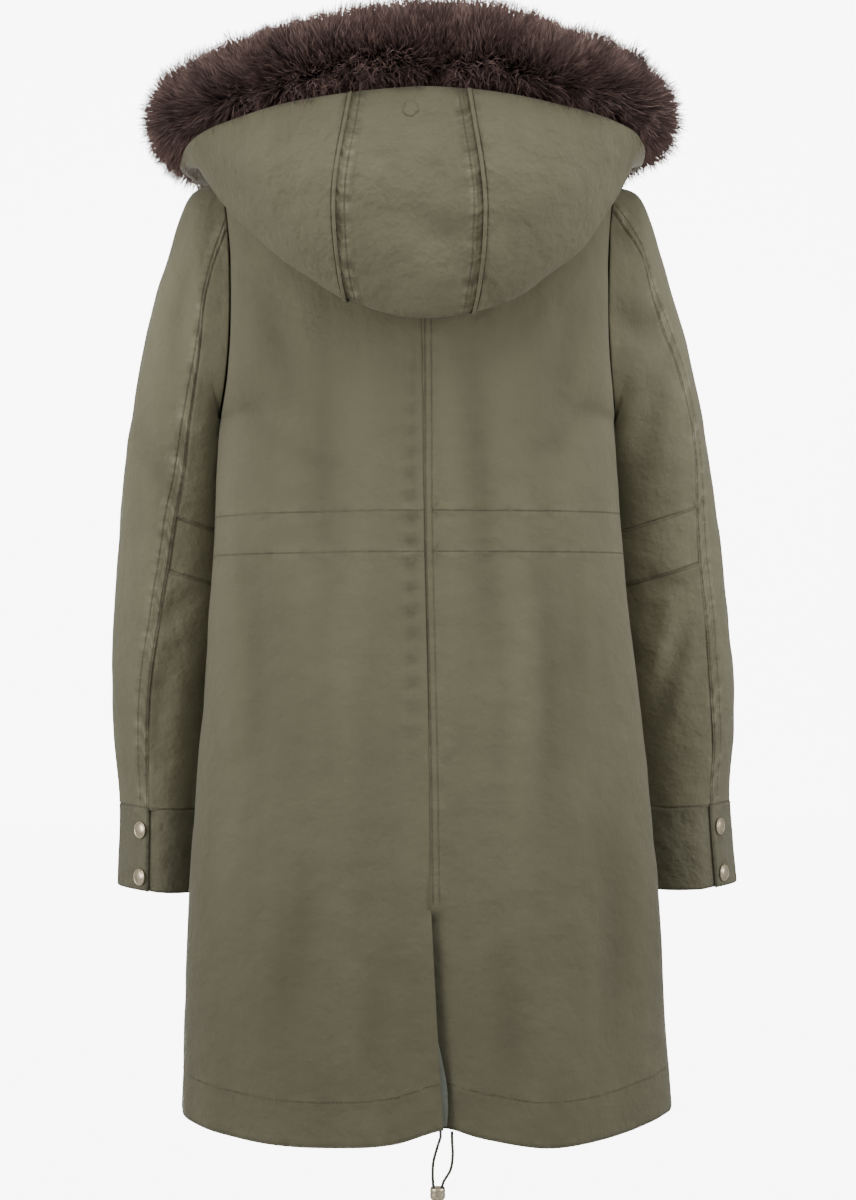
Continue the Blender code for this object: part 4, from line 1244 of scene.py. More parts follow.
@dataclass
class Body(Assembly):
    """The four torso panels and the placket, with the waist tunnel, the hem and the vent."""

    back_step: float = 0.0050
    front_step: float = 0.0075
    vent_top_z: float = -0.662
    vent_underlap: float = 0.030
    vent_depth: float = 0.0042
    vent_slant: float = 0.008
    vent_rise: float = 0.010
    hem_depth: float = 0.0375
    waist_left: tuple[float, float] = (-0.3372, -0.3703)
    waist: tuple[float, float] = (-0.3327, -0.3668)
    placket_from: float = -0.012
    placket_to: float = 0.043
    placket_top: float = 2.62
    placket_off: float = 0.0042
    placket_second: float = 0.0350
    shoulder_end: float = 2.9975
    half_length: float = 0.262
    smooth_level: float = 1.06
    smooth_reach: float = 0.22
    smooth_rounds: int = 12
    lap_columns: int = 8
    lap_start: float = 0.0041
    lap_under: float = 0.0030
    lap_shade: float = 0.011
    seam_rows: tuple[float, float] = (0.0050, 0.0102)
    side_share: float = 0.6
    facing_top: float = -0.775
    facing_width: float = 0.0052
    facing_sunk: float = 0.0011

    def levels(self, step: float) -> Array:
        """The rows of a panel, closer together at the hem, the hem's stitching and the waist."""
        form = self.form
        below = np.arange(form.hem_z, form.underarm_z, step)
        close = [form.hem_z + d for d in (0.0007, 0.0016, 0.0030)]
        close += [form.hem_z + self.hem_depth + d for d in (-0.0032, -0.0014, 0.0, 0.0014, 0.0032)]
        close += [z + d for z in (*self.waist, *self.waist_left) for d in (-0.0014, 0.0, 0.0014)]
        kept = [z for z in below if min(abs(z - mark) for mark in close) > 0.0016]
        low = np.sort([form.level_of(z) for z in kept + close])
        low = low[np.append(True, np.diff(low) > 0.0006)]
        chest = np.arange(1, 2, step / 0.12)
        top = 2 + (self.shoulder_end - 2) * np.linspace(0, 1, round(0.17 / step)) ** 0.92
        return np.concatenate([low[low < 1 - 0.003], chest[chest < 2 - 0.01], top])

    def half(self, face: Face, side: Side, step: float, start: tuple[float, ...]) -> tuple[Array, Array]:
        """The levels and the rows of one half of the back or front."""
        levels = self.levels(step)
        places = spread(self.half_length, step, start, EDGE)
        dense = np.linspace(0.0004, 1, 120)
        rows = []
        for level in levels:
            end = 1 - (0.0006 if level <= 1 else 0.0)
            fractions = dense * end
            row = self.form.folded(self.form.torso_row(face, side, level, fractions), face, fractions)
            if face is Face.BACK and side is Side.LEFT:
                row[:, 0] += self.slant(level) * (1 - fractions) ** 4
            rows.append(set_out(row, places))
        grid = np.array(rows)
        near = np.clip(1 - np.abs(levels - self.smooth_level) / self.smooth_reach, 0, 1)[1:-1, None, None]
        for _ in range(self.smooth_rounds):
            grid[1:-1] += near * 0.5 * ((grid[:-2] + grid[2:]) / 2 - grid[1:-1])
        return levels, grid

    def slant(self, level: float) -> float:
        """How far the left flap's edge is past the centre line at a level."""
        vent = self.form.level_of(self.vent_top_z)
        return self.vent_slant * max(0.0, (vent - level) / vent)

    def with_underlap(self, levels: Array, rows: Array) -> tuple[Array, Array]:
        """The right back's rows, run on and sunk under the left flap, and the painted shadow each point gets
        there.
        """
        form = self.form
        vent = form.level_of(self.vent_top_z)
        rise = self.vent_rise / (form.underarm_z - form.hem_z)
        grid, dark = [], []
        for level, row in zip(levels, rows):
            open_share = float(ease((vent - level) / rise))
            sunk = self.vent_depth * open_share * (1 + 0.6 * (vent - level) / vent)
            under = self.lap_under + self.vent_underlap * float(ease((vent - level - rise) / rise))
            along = measured(row)
            held = np.maximum(along, 0.004)
            line = at_lengths(row, held)
            shares = np.linspace(0, 0.9, self.lap_columns)
            lap = [row[0] + (line[0] - row[0]) * w - np.array([under * (1 - w), 0, 0]) for w in shares]
            fade = 1 - ease((held - self.slant(level) - 0.003) / 0.018)
            free = along > self.lap_start
            points = np.concatenate([np.array(lap), line[free]])
            points[:, 1] += sunk * np.concatenate([np.ones(self.lap_columns), fade[free]])
            points[:self.lap_columns // 2, 1] += 0.0012 * (1 - open_share)
            grid.append(points)
            # Painted shadow on the underlap, darkest at the left flap's edge and fading over lap_shade.
            run = measured(points)
            past = run - run[self.lap_columns] + self.lap_start - self.slant(level)
            dark.append(open_share * (1 - ease((past - 0.0005) / self.lap_shade)))
        return np.array(grid), np.array(dark)

    def build(self) -> None:
        """Builds the torso panels and the placket."""
        core = np.array([0.0, 0.0, -0.45])
        twill = self.finishes.twill
        _, left = self.half(Face.BACK, Side.LEFT, self.back_step, EDGE)
        at_side = (False, True, False, False)
        panel = Panel("back_left_cloth", ("back_left",), left, twill, creases=BACK_CREASES, seed=3,
                      roll=0.0003, tucked=at_side)
        self.stitch_torso(self.add(panel, core), Face.BACK, self.waist_left)
        levels, right = self.half(Face.BACK, Side.RIGHT, self.back_step, CENTRE)
        right, dark = self.with_underlap(levels, right)
        panel = Panel("back_right_cloth", ("back_right",), right, twill, creases=BACK_CREASES, seed=4,
                      tucked=at_side, rolled=(False, True, True, True), dark=dark)
        self.add(panel, core)
        above = slice(int(np.searchsorted(levels, self.form.level_of(self.vent_top_z + 0.004))), None)
        for distance in self.seam_rows:
            panel.column_line(distance, rows=above, pucker=0.35)
        self.stitch_torso(panel, Face.BACK, self.waist)
        for side, name, seed in ((Side.LEFT, "front_left", 5), (Side.RIGHT, "front_right", 6)):
            _, rows = self.half(Face.FRONT, side, self.front_step, EDGE)
            panel = Panel(f"{name}_cloth", (name,), rows, twill, creases=FRONT_CREASES, seed=seed)
            waist = self.waist_left if side is Side.LEFT else self.waist
            self.stitch_torso(self.add(panel, core), Face.FRONT, waist)
        self.build_placket(core)
        for panel in self.panels:
            panel.build()
        self.build_facing()

    def stitch_torso(self, panel: Panel, face: Face, waist: tuple[float, float]) -> None:
        """Adds a torso panel's hem, waist tunnel, side and shoulder stitching."""
        columns = slice(self.lap_columns + 1, None) if panel.name == "back_right_cloth" else slice(None)
        panel.row_line(self.hem_depth, columns=columns)
        panel.row_line(STITCH_IN, columns=columns, stitched=False)
        share = np.linspace(0, 1, panel.grid.shape[1]) ** 1.5
        for middle, z in zip(self.waist, waist):
            panel.level_line(middle + (z - middle) * share, columns=columns)
        below = slice(0, int(self.side_share * len(panel.grid)))
        panel.column_line(SEAM_IN, from_end=True, rows=below, stitched=False)
        panel.row_line(0.0030, from_end=True, stitched=face is Face.BACK)

    def centre_front(self, level: float, xs: Array) -> Array:
        """Points of the front near its centre line, at given places along X."""
        fractions = np.linspace(0, 0.4, 60)
        halves = [self.form.torso_row(Face.FRONT, side, level, fractions) for side in Side]
        row = np.concatenate([self.form.folded(half, Face.FRONT, fractions) for half in halves])
        x, y, z = row[np.argsort(row[:, 0])].T
        return np.stack([xs, np.interp(xs, x, y), np.interp(xs, x, z)], axis=1)

    def build_placket(self, core: Array) -> None:
        """Adds the storm placket on the front."""
        low, chest = np.linspace(0.006, 1, 120)[:-1], np.linspace(1, 2, 20)[:-1]
        heights = np.concatenate([low, chest, np.linspace(2, self.placket_top, 22)])
        width = self.placket_to - self.placket_from
        places = spread(width, 0.005, STITCHED[:5], STITCHED[:5])
        xs = self.placket_from + places[:, 0] * width + places[:, 1]
        grid = np.array([self.centre_front(level, xs) for level in heights])
        out = outward(grid)
        out *= np.sign(out[..., 1:2])
        grid = grid + self.placket_off * out
        panel = Panel("front_placket_cloth", ("front_placket",), grid, self.finishes.twill, seed=7,
                      thickness=0.0022, roll=0.0018)
        self.add(panel, core)
        panel.column_line(STITCH_IN)
        panel.column_line(STITCH_IN, from_end=True)
        panel.column_line(self.placket_second)
        panel.row_line(STITCH_IN, from_end=True)

    def build_facing(self) -> None:
        """Adds the narrow pale facing that shows past the left flap's edge low in the vent."""
        form = self.form
        rows = []
        top = form.level_of(self.facing_top)
        fractions = np.array([0.0, 0.05])
        for level in np.linspace(0.0060, top, 40):
            drop = 1 - level / top
            row = form.torso_row(Face.BACK, Side.LEFT, level, fractions)
            first = form.folded(row, Face.BACK, fractions)[0]
            first[0] += self.slant(level)
            shown = self.facing_width * float(np.sin(np.pi * min(1.0, drop * 0.80 + 0.02)) ** 1.3)
            across = np.linspace(-0.0050, shown, 6)
            sunk = self.facing_sunk + 0.0005 * (across > 0)
            rows.append(first + np.stack([across, sunk, np.zeros(6)], axis=1))
        mesh = grid_mesh("vent_facing", np.array(rows))
        mesh.materials.append(self.finishes.facing)
        keep_values(mesh, "seam_off", np.full(len(mesh.vertices), FAR))
        mesh.uv_layers.new(name="flat")
        made = linked("vent_facing", mesh)
        wall = made.modifiers.new("wall", "SOLIDIFY")
        wall.thickness, wall.offset = 0.0008, -1.0
        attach(made, "root")
        LOG.info("vent_facing: a strip %.0f mm long", 1000 * (rows[-1][0, 2] - rows[0][0, 2]))


@dataclass
class Sleeve(Assembly):
    """One two-piece sleeve with its elbow panel, its slit, its cuff and its two press studs."""

    side: Side = Side.LEFT
    step: float = 0.0050
    front_seam: float = -105.0
    elbow: tuple[float, float] = (7.0, 8.0)
    slit_top: float = 10.2
    cuff_top: float = 12.0
    cuff_bottom: float = 13.0
    cuff_lap: float = 20.0
    cuff_depth: float = 0.0034
    stud_turn: float = 17.0
    stud_off: float = 0.0017
    inward: float = 0.0065
    inward_from: tuple[float, float] = (0.3, 1.2)
    inward_to: tuple[float, float] = (10.5, 2.5)
    step_length: float = 0.052
    upper_length: float = 0.205
    under_length: float = 0.160
    seam_gap: float = 0.20
    slit_gap: float = 0.45
    cuff_step_length: float = 0.076
    cuff_length: float = 0.240
    lap_turn: float = 325.0
    lap_ease: float = 30.0
    studs: tuple[tuple[str, float], ...] = (("upper", 12.30), ("lower", 12.84))

    def ring(self, step: float, low: float, high: float) -> Array:
        """A dense run of points round the sleeve, from one angle to another."""
        angles = np.linspace(low, high, 90)
        points = self.form.sleeve_ring(step, angles, self.side)
        gap = 0.0006 + 0.0008 * (1 - np.cos(np.radians(angles)))
        points[:, 0] += self.side.value * gap * max(0.0, 1 - step)
        inner = (1 - np.cos(np.radians(angles))) / 2
        (start, start_run), (end, end_run) = self.inward_from, self.inward_to
        share = float(ease((step - start) / start_run) * ease((end - step) / end_run))
        points[:, 0] -= self.side.value * self.inward * inner ** 2 * share
        return points

    def patch(self, first: float, last: float, upper: bool) -> Array:
        """The grid of the upper or an under panel between two steps."""
        length = (last - first) * self.step_length
        rows = spread(length, self.step, EDGE, EDGE)
        steps = first + (rows[:, 0] * length + rows[:, 1]) / length * (last - first)
        width, end = (self.upper_length, STITCHED) if upper else (self.under_length, EDGE)
        places = spread(width, self.step, EDGE, end)
        grid = []
        for step in steps:
            seam = self.form.sleeve_seam(step, self.side)
            half = self.seam_gap + self.slit_gap * float(ease((step - self.slit_top) / 0.5))
            low = self.front_seam + self.seam_gap if upper else seam + half
            high = seam - half if upper else 360 + self.front_seam - self.seam_gap
            grid.append(set_out(self.ring(step, low, high), places))
        return np.array(grid)

    def build(self) -> None:
        """Builds the sleeve's panels, cuff and studs."""
        name = self.side.name.lower()
        seed = 20 + 10 * self.side.value
        core = np.array([self.side.value * 0.222, 0.045, -0.33])
        grid = self.patch(0.0, self.cuff_top, True)
        upper = Panel(f"sleeve_{name}_upper_cloth", (f"sleeve_{name}_upper",), grid, self.finishes.sleeve,
                      creases=SLEEVE_CREASES, seed=seed, crumple=0.0012, tucked=(False, False, False, True))
        self.add(upper, core)
        for distance in (STITCH_IN, SECOND_IN):
            upper.column_line(distance, from_end=True, pucker=1.0)
        upper.column_line(SEAM_IN, stitched=False)
        runs = (
            ("under_top", 0.0, self.elbow[0]),
            ("elbow", *self.elbow),
            ("under_bottom", self.elbow[1], self.cuff_top),
        )
        for number, (part, first, last) in enumerate(runs):
            grid = self.patch(first + 0.002, last - 0.002, False)
            node = f"sleeve_{name}_{part}"
            panel = Panel(f"{node}_cloth", (node,), grid, self.finishes.sleeve, creases=SLEEVE_CREASES,
                          seed=seed + 1 + number, crumple=0.0012, tucked=(True, True, False, True))
            self.add(panel, core)
            panel.column_line(SEAM_IN, stitched=False)
            panel.column_line(SEAM_IN, from_end=True, stitched=False)
            if part == "elbow":
                panel.row_line(STITCH_IN)
                panel.row_line(STITCH_IN, from_end=True)
            else:
                panel.row_line(SEAM_IN, from_end=part == "under_top", stitched=False)
        self.add_cuff(name, seed)
        for panel in self.panels:
            panel.build()
        for stud, step in self.studs:
            point, out = self.cuff_ring(step, np.array([self.stud_turn]))
            where = point[0] + out[0] * self.stud_off
            PressStud(f"cuff_{name}_stud_{stud}", where, out[0], self.finishes.metal).build()

    def cuff_ring(self, step: float, turns: Array) -> tuple[Array, Array]:
        """Points of the cuff and its way out, turns in degrees back from its overlapping end."""
        angles = self.form.sleeve_seam(self.cuff_top, self.side) - turns
        points = self.form.sleeve_ring(step, angles, self.side)
        before, after = (self.form.sleeve_ring(step, angles + turn, self.side) for turn in (1, -1))
        ahead = after - before
        sign = self.side.value
        out = unit(np.stack([sign * ahead[:, 1], -sign * ahead[:, 0], np.zeros(len(turns))], axis=1))
        return points - self.cuff_depth * ease((turns - self.lap_turn) / self.lap_ease)[:, None] * out, out

    def add_cuff(self, name: str, seed: int) -> None:
        """Adds the cuff band, which laps over its own end."""
        run = self.cuff_bottom - self.cuff_top
        length = run * self.cuff_step_length
        close = STITCHED[:4] + (0.0055,)
        rows = spread(length, 0.004, close, close)
        steps = self.cuff_top + (rows[:, 0] * length + rows[:, 1]) / length * run
        places = spread(self.cuff_length, 0.004, close, EDGE)
        turns = np.linspace(0, 360 + self.cuff_lap, 180)
        grid = np.array([set_out(self.cuff_ring(step, turns)[0], places) for step in steps])
        core = np.array([self.side.value * 0.240, 0.058, -0.630])
        panel = Panel(f"cuff_{name}_cloth", (f"cuff_{name}",), grid, self.finishes.cuff, seed=seed + 6,
                      thickness=0.0022, lift=0.0010, roll=0.0018, crumple=0.0007)
        self.add(panel, core)
        panel.row_line(STITCH_IN)
        panel.row_line(STITCH_IN, from_end=True)
        panel.column_line(STITCH_IN)


@dataclass
class Hood(Assembly):
    """The fallen hood: three panels joined by two stitched seams, open above."""

    step: float = 0.0045
    seam_left: float = -1.08
    seam_right: float = 0.60
    rows: tuple[int, ...] = (7, 16, 18, 15)
    neck_in: float = 0.0030
    press_reach: float = 0.012
    studs: tuple[tuple[float, float], ...] = (
        (-0.095, -0.0174), (-0.015, -0.0126), (0.0675, -0.015), (0.146, -0.035),
    )

    def panel_grid(
        self, first: float, last: float, start: tuple[float, ...], end: tuple[float, ...],
    ) -> Array:
        """The grid of one hood panel between two stations."""
        count = max(40, int((last - first) * 22))
        profiles = np.array([self.form.hood_profile(s, self.rows) for s in np.linspace(first, last, count)])
        profiles = self.form.drawn_in(profiles)
        length = measured(profiles[:, self.rows[0] + self.rows[1]])[-1]
        places = spread(length, self.step, start, end)
        return np.array([set_out(profiles[:, k], places) for k in range(profiles.shape[1])])

    def build(self) -> None:
        """Builds the hood's panels."""
        runs = (
            ("hood_left", -7.0, self.seam_left - 0.001, EDGE, EDGE, 41),
            ("hood_centre", self.seam_left + 0.001, self.seam_right - 0.001, STITCHED, STITCHED, 42),
            ("hood_right", self.seam_right + 0.001, 7.0, EDGE, EDGE, 43),
        )
        bulge = self.rows[0] + self.rows[1] + self.rows[2]
        for name, first, last, start, end, seed in runs:
            grid = self.panel_grid(first, last, start, end)
            panel = Panel(f"{name}_cloth", (name,), grid, self.finishes.hood, creases=HOOD_CREASES, seed=seed,
                          rolled=(True, True, True, False), crumple=0.0013, roll=0.0003,
                          tucked=(name == "hood_right", name == "hood_left", False, False))
            self.add(panel, grid[bulge, grid.shape[1] // 2] * np.array([0, 0, 1]), bulge)
            for from_end in (False, True):
                if name == "hood_centre":
                    panel.column_line(STITCH_IN, from_end=from_end, pucker=1.0)
                    panel.column_line(SECOND_IN, from_end=from_end, pucker=1.0)
                else:
                    panel.column_line(SEAM_IN, from_end=from_end, stitched=False)
            panel.row_line(self.neck_in, stitched=False)
            self.press(panel.build().data)

    def press(self, mesh: bpy.types.Mesh) -> None:
        """Keeps how close each point is to a press stud that pushes against the cloth from inside, which
        raises the cloth's bump and paints a ring of shade round it.
        """
        points = np.array([v.co for v in mesh.vertices])
        facing = np.array([v.normal for v in mesh.vertices])
        close = np.zeros(len(points))
        for x, z in self.studs:
            away = np.hypot(points[:, 0] - x, points[:, 2] - z)
            close = np.maximum(close, np.clip(1 - away / self.press_reach, 0, 1) * (facing[:, 1] < -0.2))
        keep_values(mesh, "stud_close", close)


# The radius of the ring that closes a turned piece, a stud's rings as shares of its radius and
# heights, and the cord end's rings as radii and heights.
PIN = 0.0002
STUD_RINGS = (
    (0.90, 0.0), (0.985, 0.0003), (1.0, 0.0008), (0.985, 0.0013), (0.93, 0.0016), (0.86, 0.0015),
    (0.82, 0.0013), (0.76, 0.0015), (0.60, 0.0021), (0.38, 0.0025), (0.16, 0.0027),
)
CUP_RINGS = (
    (PIN, 0.0), (0.0038, 0.0001), (0.0051, 0.0006), (0.0059, 0.0016), (0.0063, 0.0030), (0.0064, 0.0052),
    (0.0062, 0.0060), (0.0062, 0.0066), (0.0064, 0.0074), (0.0063, 0.0090), (0.0060, 0.0104),
    (0.0056, 0.0108), (0.0052, 0.0104), (0.0051, 0.0060), (0.0044, 0.0036), (PIN, 0.0030),
)


@dataclass
class PressStud:
    """A low domed cap with a rolled rim."""

    node: str
    where: Array
    axis: Array
    finish: bpy.types.Material
    radius: float = 0.0075

    def build(self) -> None:
        """Builds the stud in place of its plain solid."""
        r = self.radius
        profile = [(PIN, 0.0), *((r * share, height) for share, height in STUD_RINGS), (PIN, 0.0027)]
        mesh = turned_mesh(f"{self.node}_cap", profile, self.where, self.axis)
        mesh.materials.append(self.finish)
        made = linked(f"{self.node}_cap", mesh)
        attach(made, "root")
        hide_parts(self.node)
        LOG.info("%s: %.0f mm across", made.name, 2000 * r)


@dataclass
class HemCord:
    """The two free ends of the hem's cord, joined in one small metal cup."""

    finishes: Finishes
    diameter: float = 0.0024

    def build(self) -> None:
        """Builds the cup, then the two strands that go into it."""
        mesh = turned_mesh("hem_cord_cup", list(CUP_RINGS), np.array(CORD_END), np.array([0.0, 0.0, 1.0]))
        mesh.materials.append(self.finishes.metal)
        cup = linked("hem_cord_cup", mesh)
        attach(cup, "root")
        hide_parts("cord_end")
        for name, route in (("hem_cord_left", CORD_LEFT), ("hem_cord_right", CORD_RIGHT)):
            points = smooth_line(route, (7, 7, 7, 7))
            points = np.concatenate([points[:1] + np.array([0.0, 0.0018, 0.0085]), points])
            curve = bpy.data.curves.new(f"{name}_braid", "CURVE")
            curve.dimensions = "3D"
            curve.bevel_depth = self.diameter / 2
            curve.bevel_resolution = 4
            curve.use_fill_caps = True
            spline = curve.splines.new("POLY")
            spline.points.add(len(points) - 1)
            for knot, point in zip(spline.points, points):
                knot.co = (*point, 1.0)
            curve.materials.append(self.finishes.cord)
            braid = linked(f"{name}_braid", curve)
            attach(braid, "root")
            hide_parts(name)


@dataclass
class FurTrim:
    """The fur along the hood's edge: a dark backing roll and the hairs that grow from it."""

    form: Form
    finishes: Finishes
    core_share: float = 0.60
    hair: float = 0.0240
    width: float = 0.00085
    hairs: int = 24800
    sway: float = 0.014
    stray: float = 0.20
    bend: float = 1.6
    cover: float = 0.88
    curve: float = 0.24
    parts: tuple[tuple[str, float, float], ...] = (
        ("left", -9.0, -2.15), ("centre", -2.15, 2.15), ("right", 2.15, 9.0),
    )

    def roll(self) -> tuple[Array, dict[str, Array], Array]:
        """The backing's rings of points, what the hair reads there, and each ring's station."""
        stations = np.linspace(-7, 7, 150)
        rings = [(s, 0.0, 1.0) for s in stations]
        round_off = [(math.sin(a), math.cos(a)) for a in np.radians([20, 40, 58, 72, 83, 89])]
        rings = ([(-7.0, -shift, share) for shift, share in reversed(round_off)] + rings
                 + [(7.0, shift, share) for shift, share in round_off])
        turns = np.linspace(-math.pi, math.pi, 32, endpoint=False)
        degrees = np.degrees(turns)
        points, pile, comb, cover = [], [], [], []
        for station, shift, share in rings:
            middle, radius, out, along = self.form.fur_frame(station)
            up = np.cross(out, along)
            core = radius * self.core_share
            around = np.cos(turns)[:, None] * out + np.sin(turns)[:, None] * up
            rising = -np.sin(turns)[:, None] * out + np.cos(turns)[:, None] * up
            tip = along * shift
            normal = unit(around * max(share, 0.02) + tip)
            side = float(ease((abs(station) - 2.2) / 2.6))
            lift = ease((degrees + 75) / 70) * (1 - 0.45 * ease((degrees - 100) / 60))
            lift = lift - 0.5 * ease((-degrees - 80) / 60)
            way = normal * (0.64 + 0.22 * side) + rising * (lift * (0.86 - 0.40 * side))[:, None]
            way = way + along * np.sign(station) * 0.30 * side + np.array([0, 0, -0.30 * side])
            points.append(middle + core * share * around + along * shift * core)
            pile.append(normal)
            comb.append(way)
            cover.append(1 - 0.75 * ease((-degrees - 95) / 30) * (1 - side * 0.6))
        grid, comb = self.form.drawn_in(np.array(points)), np.array(comb)
        sway = np.stack([Noise(60 + k).at(grid, 0.024) for k in range(3)], axis=-1)
        curl = np.stack([Noise(70 + k).at(grid, 0.011) for k in range(3)], axis=-1)
        reach = self.hair * (0.98 + 0.26 * Noise(80).at(grid, 0.017))
        values = {"pile": np.array(pile), "comb": unit(comb + 0.42 * sway + 0.22 * curl), "reach": reach,
                  "cover": np.array(cover)}
        return grid, values, np.array([station + 0.3 * shift for station, shift, _ in rings])

    def strand(self) -> bpy.types.Object:
        """One flat tapered hair, a metre long and a metre wide, to be scaled."""
        along = np.array([0.0, 0.28, 0.55, 0.80, 1.0])
        half = np.array([0.50, 0.46, 0.36, 0.21, 0.0])
        verts = [(self.curve * t * t, s * w, t) for t, w in zip(along[:-1], half) for s in (-1, 1)]
        verts.append((self.curve, 0.0, 1.0))
        faces = [(2 * k, 2 * k + 1, 2 * k + 3, 2 * k + 2) for k in range(3)] + [(6, 7, 8)]
        mesh = bpy.data.meshes.new("hair")
        mesh.from_pydata(verts, [], faces)
        mesh.shade_smooth()
        keep_values(mesh, "along", np.append(np.repeat(along[:-1], 2), 1.0))
        return linked("hair", mesh)

    def recipe(self) -> Recipe:
        """The tree that grows hairs from the backing."""
        sockets = {"Density": "NodeSocketFloat", "Seed": "NodeSocketInt", "Width": "NodeSocketFloat",
                   "Sway": "NodeSocketFloat", "Hair": "NodeSocketObject"}
        r = Recipe("grow_fur", sockets)
        source = r.source.outputs
        density = r.product(source["Density"], r.named("cover"))
        spots = r.node("GeometryNodeDistributePointsOnFaces", {"distribute_method": "RANDOM"},
                       {"Mesh": source["Geometry"], "Density": density, "Seed": source["Seed"]})
        chance = r.node("FunctionNodeRandomValue", {"data_type": "FLOAT_VECTOR"},
                        {0: (-0.9, -0.9, -0.9), 1: (0.9, 0.9, 0.9), "Seed": source["Seed"]})
        lean = r.vector("ADD", r.named("pile", "FLOAT_VECTOR"), chance.outputs[0])
        stray = r.vector("SCALE", chance.outputs[0], Scale=self.stray)
        way = r.vector("ADD", r.named("comb", "FLOAT_VECTOR"), stray)
        axes = {"primary_axis": "Z", "secondary_axis": "X"}
        turn = r.node("FunctionNodeAxesToRotation", axes, {0: way, 1: lean})
        share = r.node("FunctionNodeRandomValue", {"data_type": "FLOAT"}, {2: 0.70, 3: 1.12, "Seed": 5})
        length = r.product(r.named("reach"), share.outputs[1])
        scale = r.node("ShaderNodeCombineXYZ", None, {0: length, 1: source["Width"], 2: length})
        hair = r.node("GeometryNodeObjectInfo", None, {"Object": source["Hair"]})
        placed = r.node("GeometryNodeInstanceOnPoints", None,
                        {"Points": spots.outputs[0], "Instance": hair.outputs["Geometry"],
                         "Rotation": turn.outputs[0], "Scale": scale.outputs[0]})
        tint = r.node("FunctionNodeRandomValue", {"data_type": "FLOAT"}, {"Seed": 9})
        tinted = r.node("GeometryNodeStoreNamedAttribute", {"data_type": "FLOAT", "domain": "INSTANCE"},
                        {"Geometry": placed.outputs[0], "Name": "tint", "Value": tint.outputs[1]})
        real = r.node("GeometryNodeRealizeInstances", None, {0: tinted.outputs[0]})
        drift = r.node("ShaderNodeTexNoise", None, {"Scale": 62.0, "Detail": 1.0})
        centred = r.vector("SUBTRACT", drift.outputs["Color"], (0.5, 0.5, 0.5))
        bent = r.node("ShaderNodeMath", {"operation": "POWER"}, {0: r.named("along"), 1: self.bend})
        offset = r.vector("SCALE", centred, Scale=r.product(bent.outputs[0], source["Sway"]))
        moved = r.node("GeometryNodeSetPosition", None, {"Geometry": real.outputs[0], "Offset": offset})
        r.finish(moved.outputs[0], self.finishes.fur)
        return r

    def build(self) -> None:
        """Builds the backing and the hairs in three pieces."""
        grid, values, stations = self.roll()
        mesh = grid_mesh("fur_backing", grid, closed=True)
        mesh.materials.append(self.finishes.backing)
        backing = linked("fur_backing", mesh)
        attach(backing, "root")
        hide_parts("fur_trim")
        recipe, hair = self.recipe(), self.strand()
        for number, (part, first, last) in enumerate(self.parts):
            low, high = np.searchsorted(stations, first), np.searchsorted(stations, last)
            rows = slice(max(0, low - 1), high)
            base_mesh = grid_mesh("fur_base", grid[rows], closed=True)
            for name, value in values.items():
                kept = value[rows]
                keep_values(base_mesh, name, kept.reshape(-1, 3) if kept.ndim == 3 else kept.ravel())
            base = linked("fur_base", base_mesh)
            density = self.hairs / sum(face.area for face in base_mesh.polygons) / self.cover
            made = recipe.grow(base, f"fur_hair_{part}", Density=density, Seed=number + 1,
                               Width=self.width, Sway=self.sway, Hair=hair)
            for name in ("comb", "reach", "cover"):
                made.data.attributes.remove(made.data.attributes[name])
            bpy.data.objects.remove(base)
            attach(made, "root")
            LOG.info("%s: %d hairs", made.name, len(made.data.polygons) // 4)
        bpy.data.objects.remove(hair)


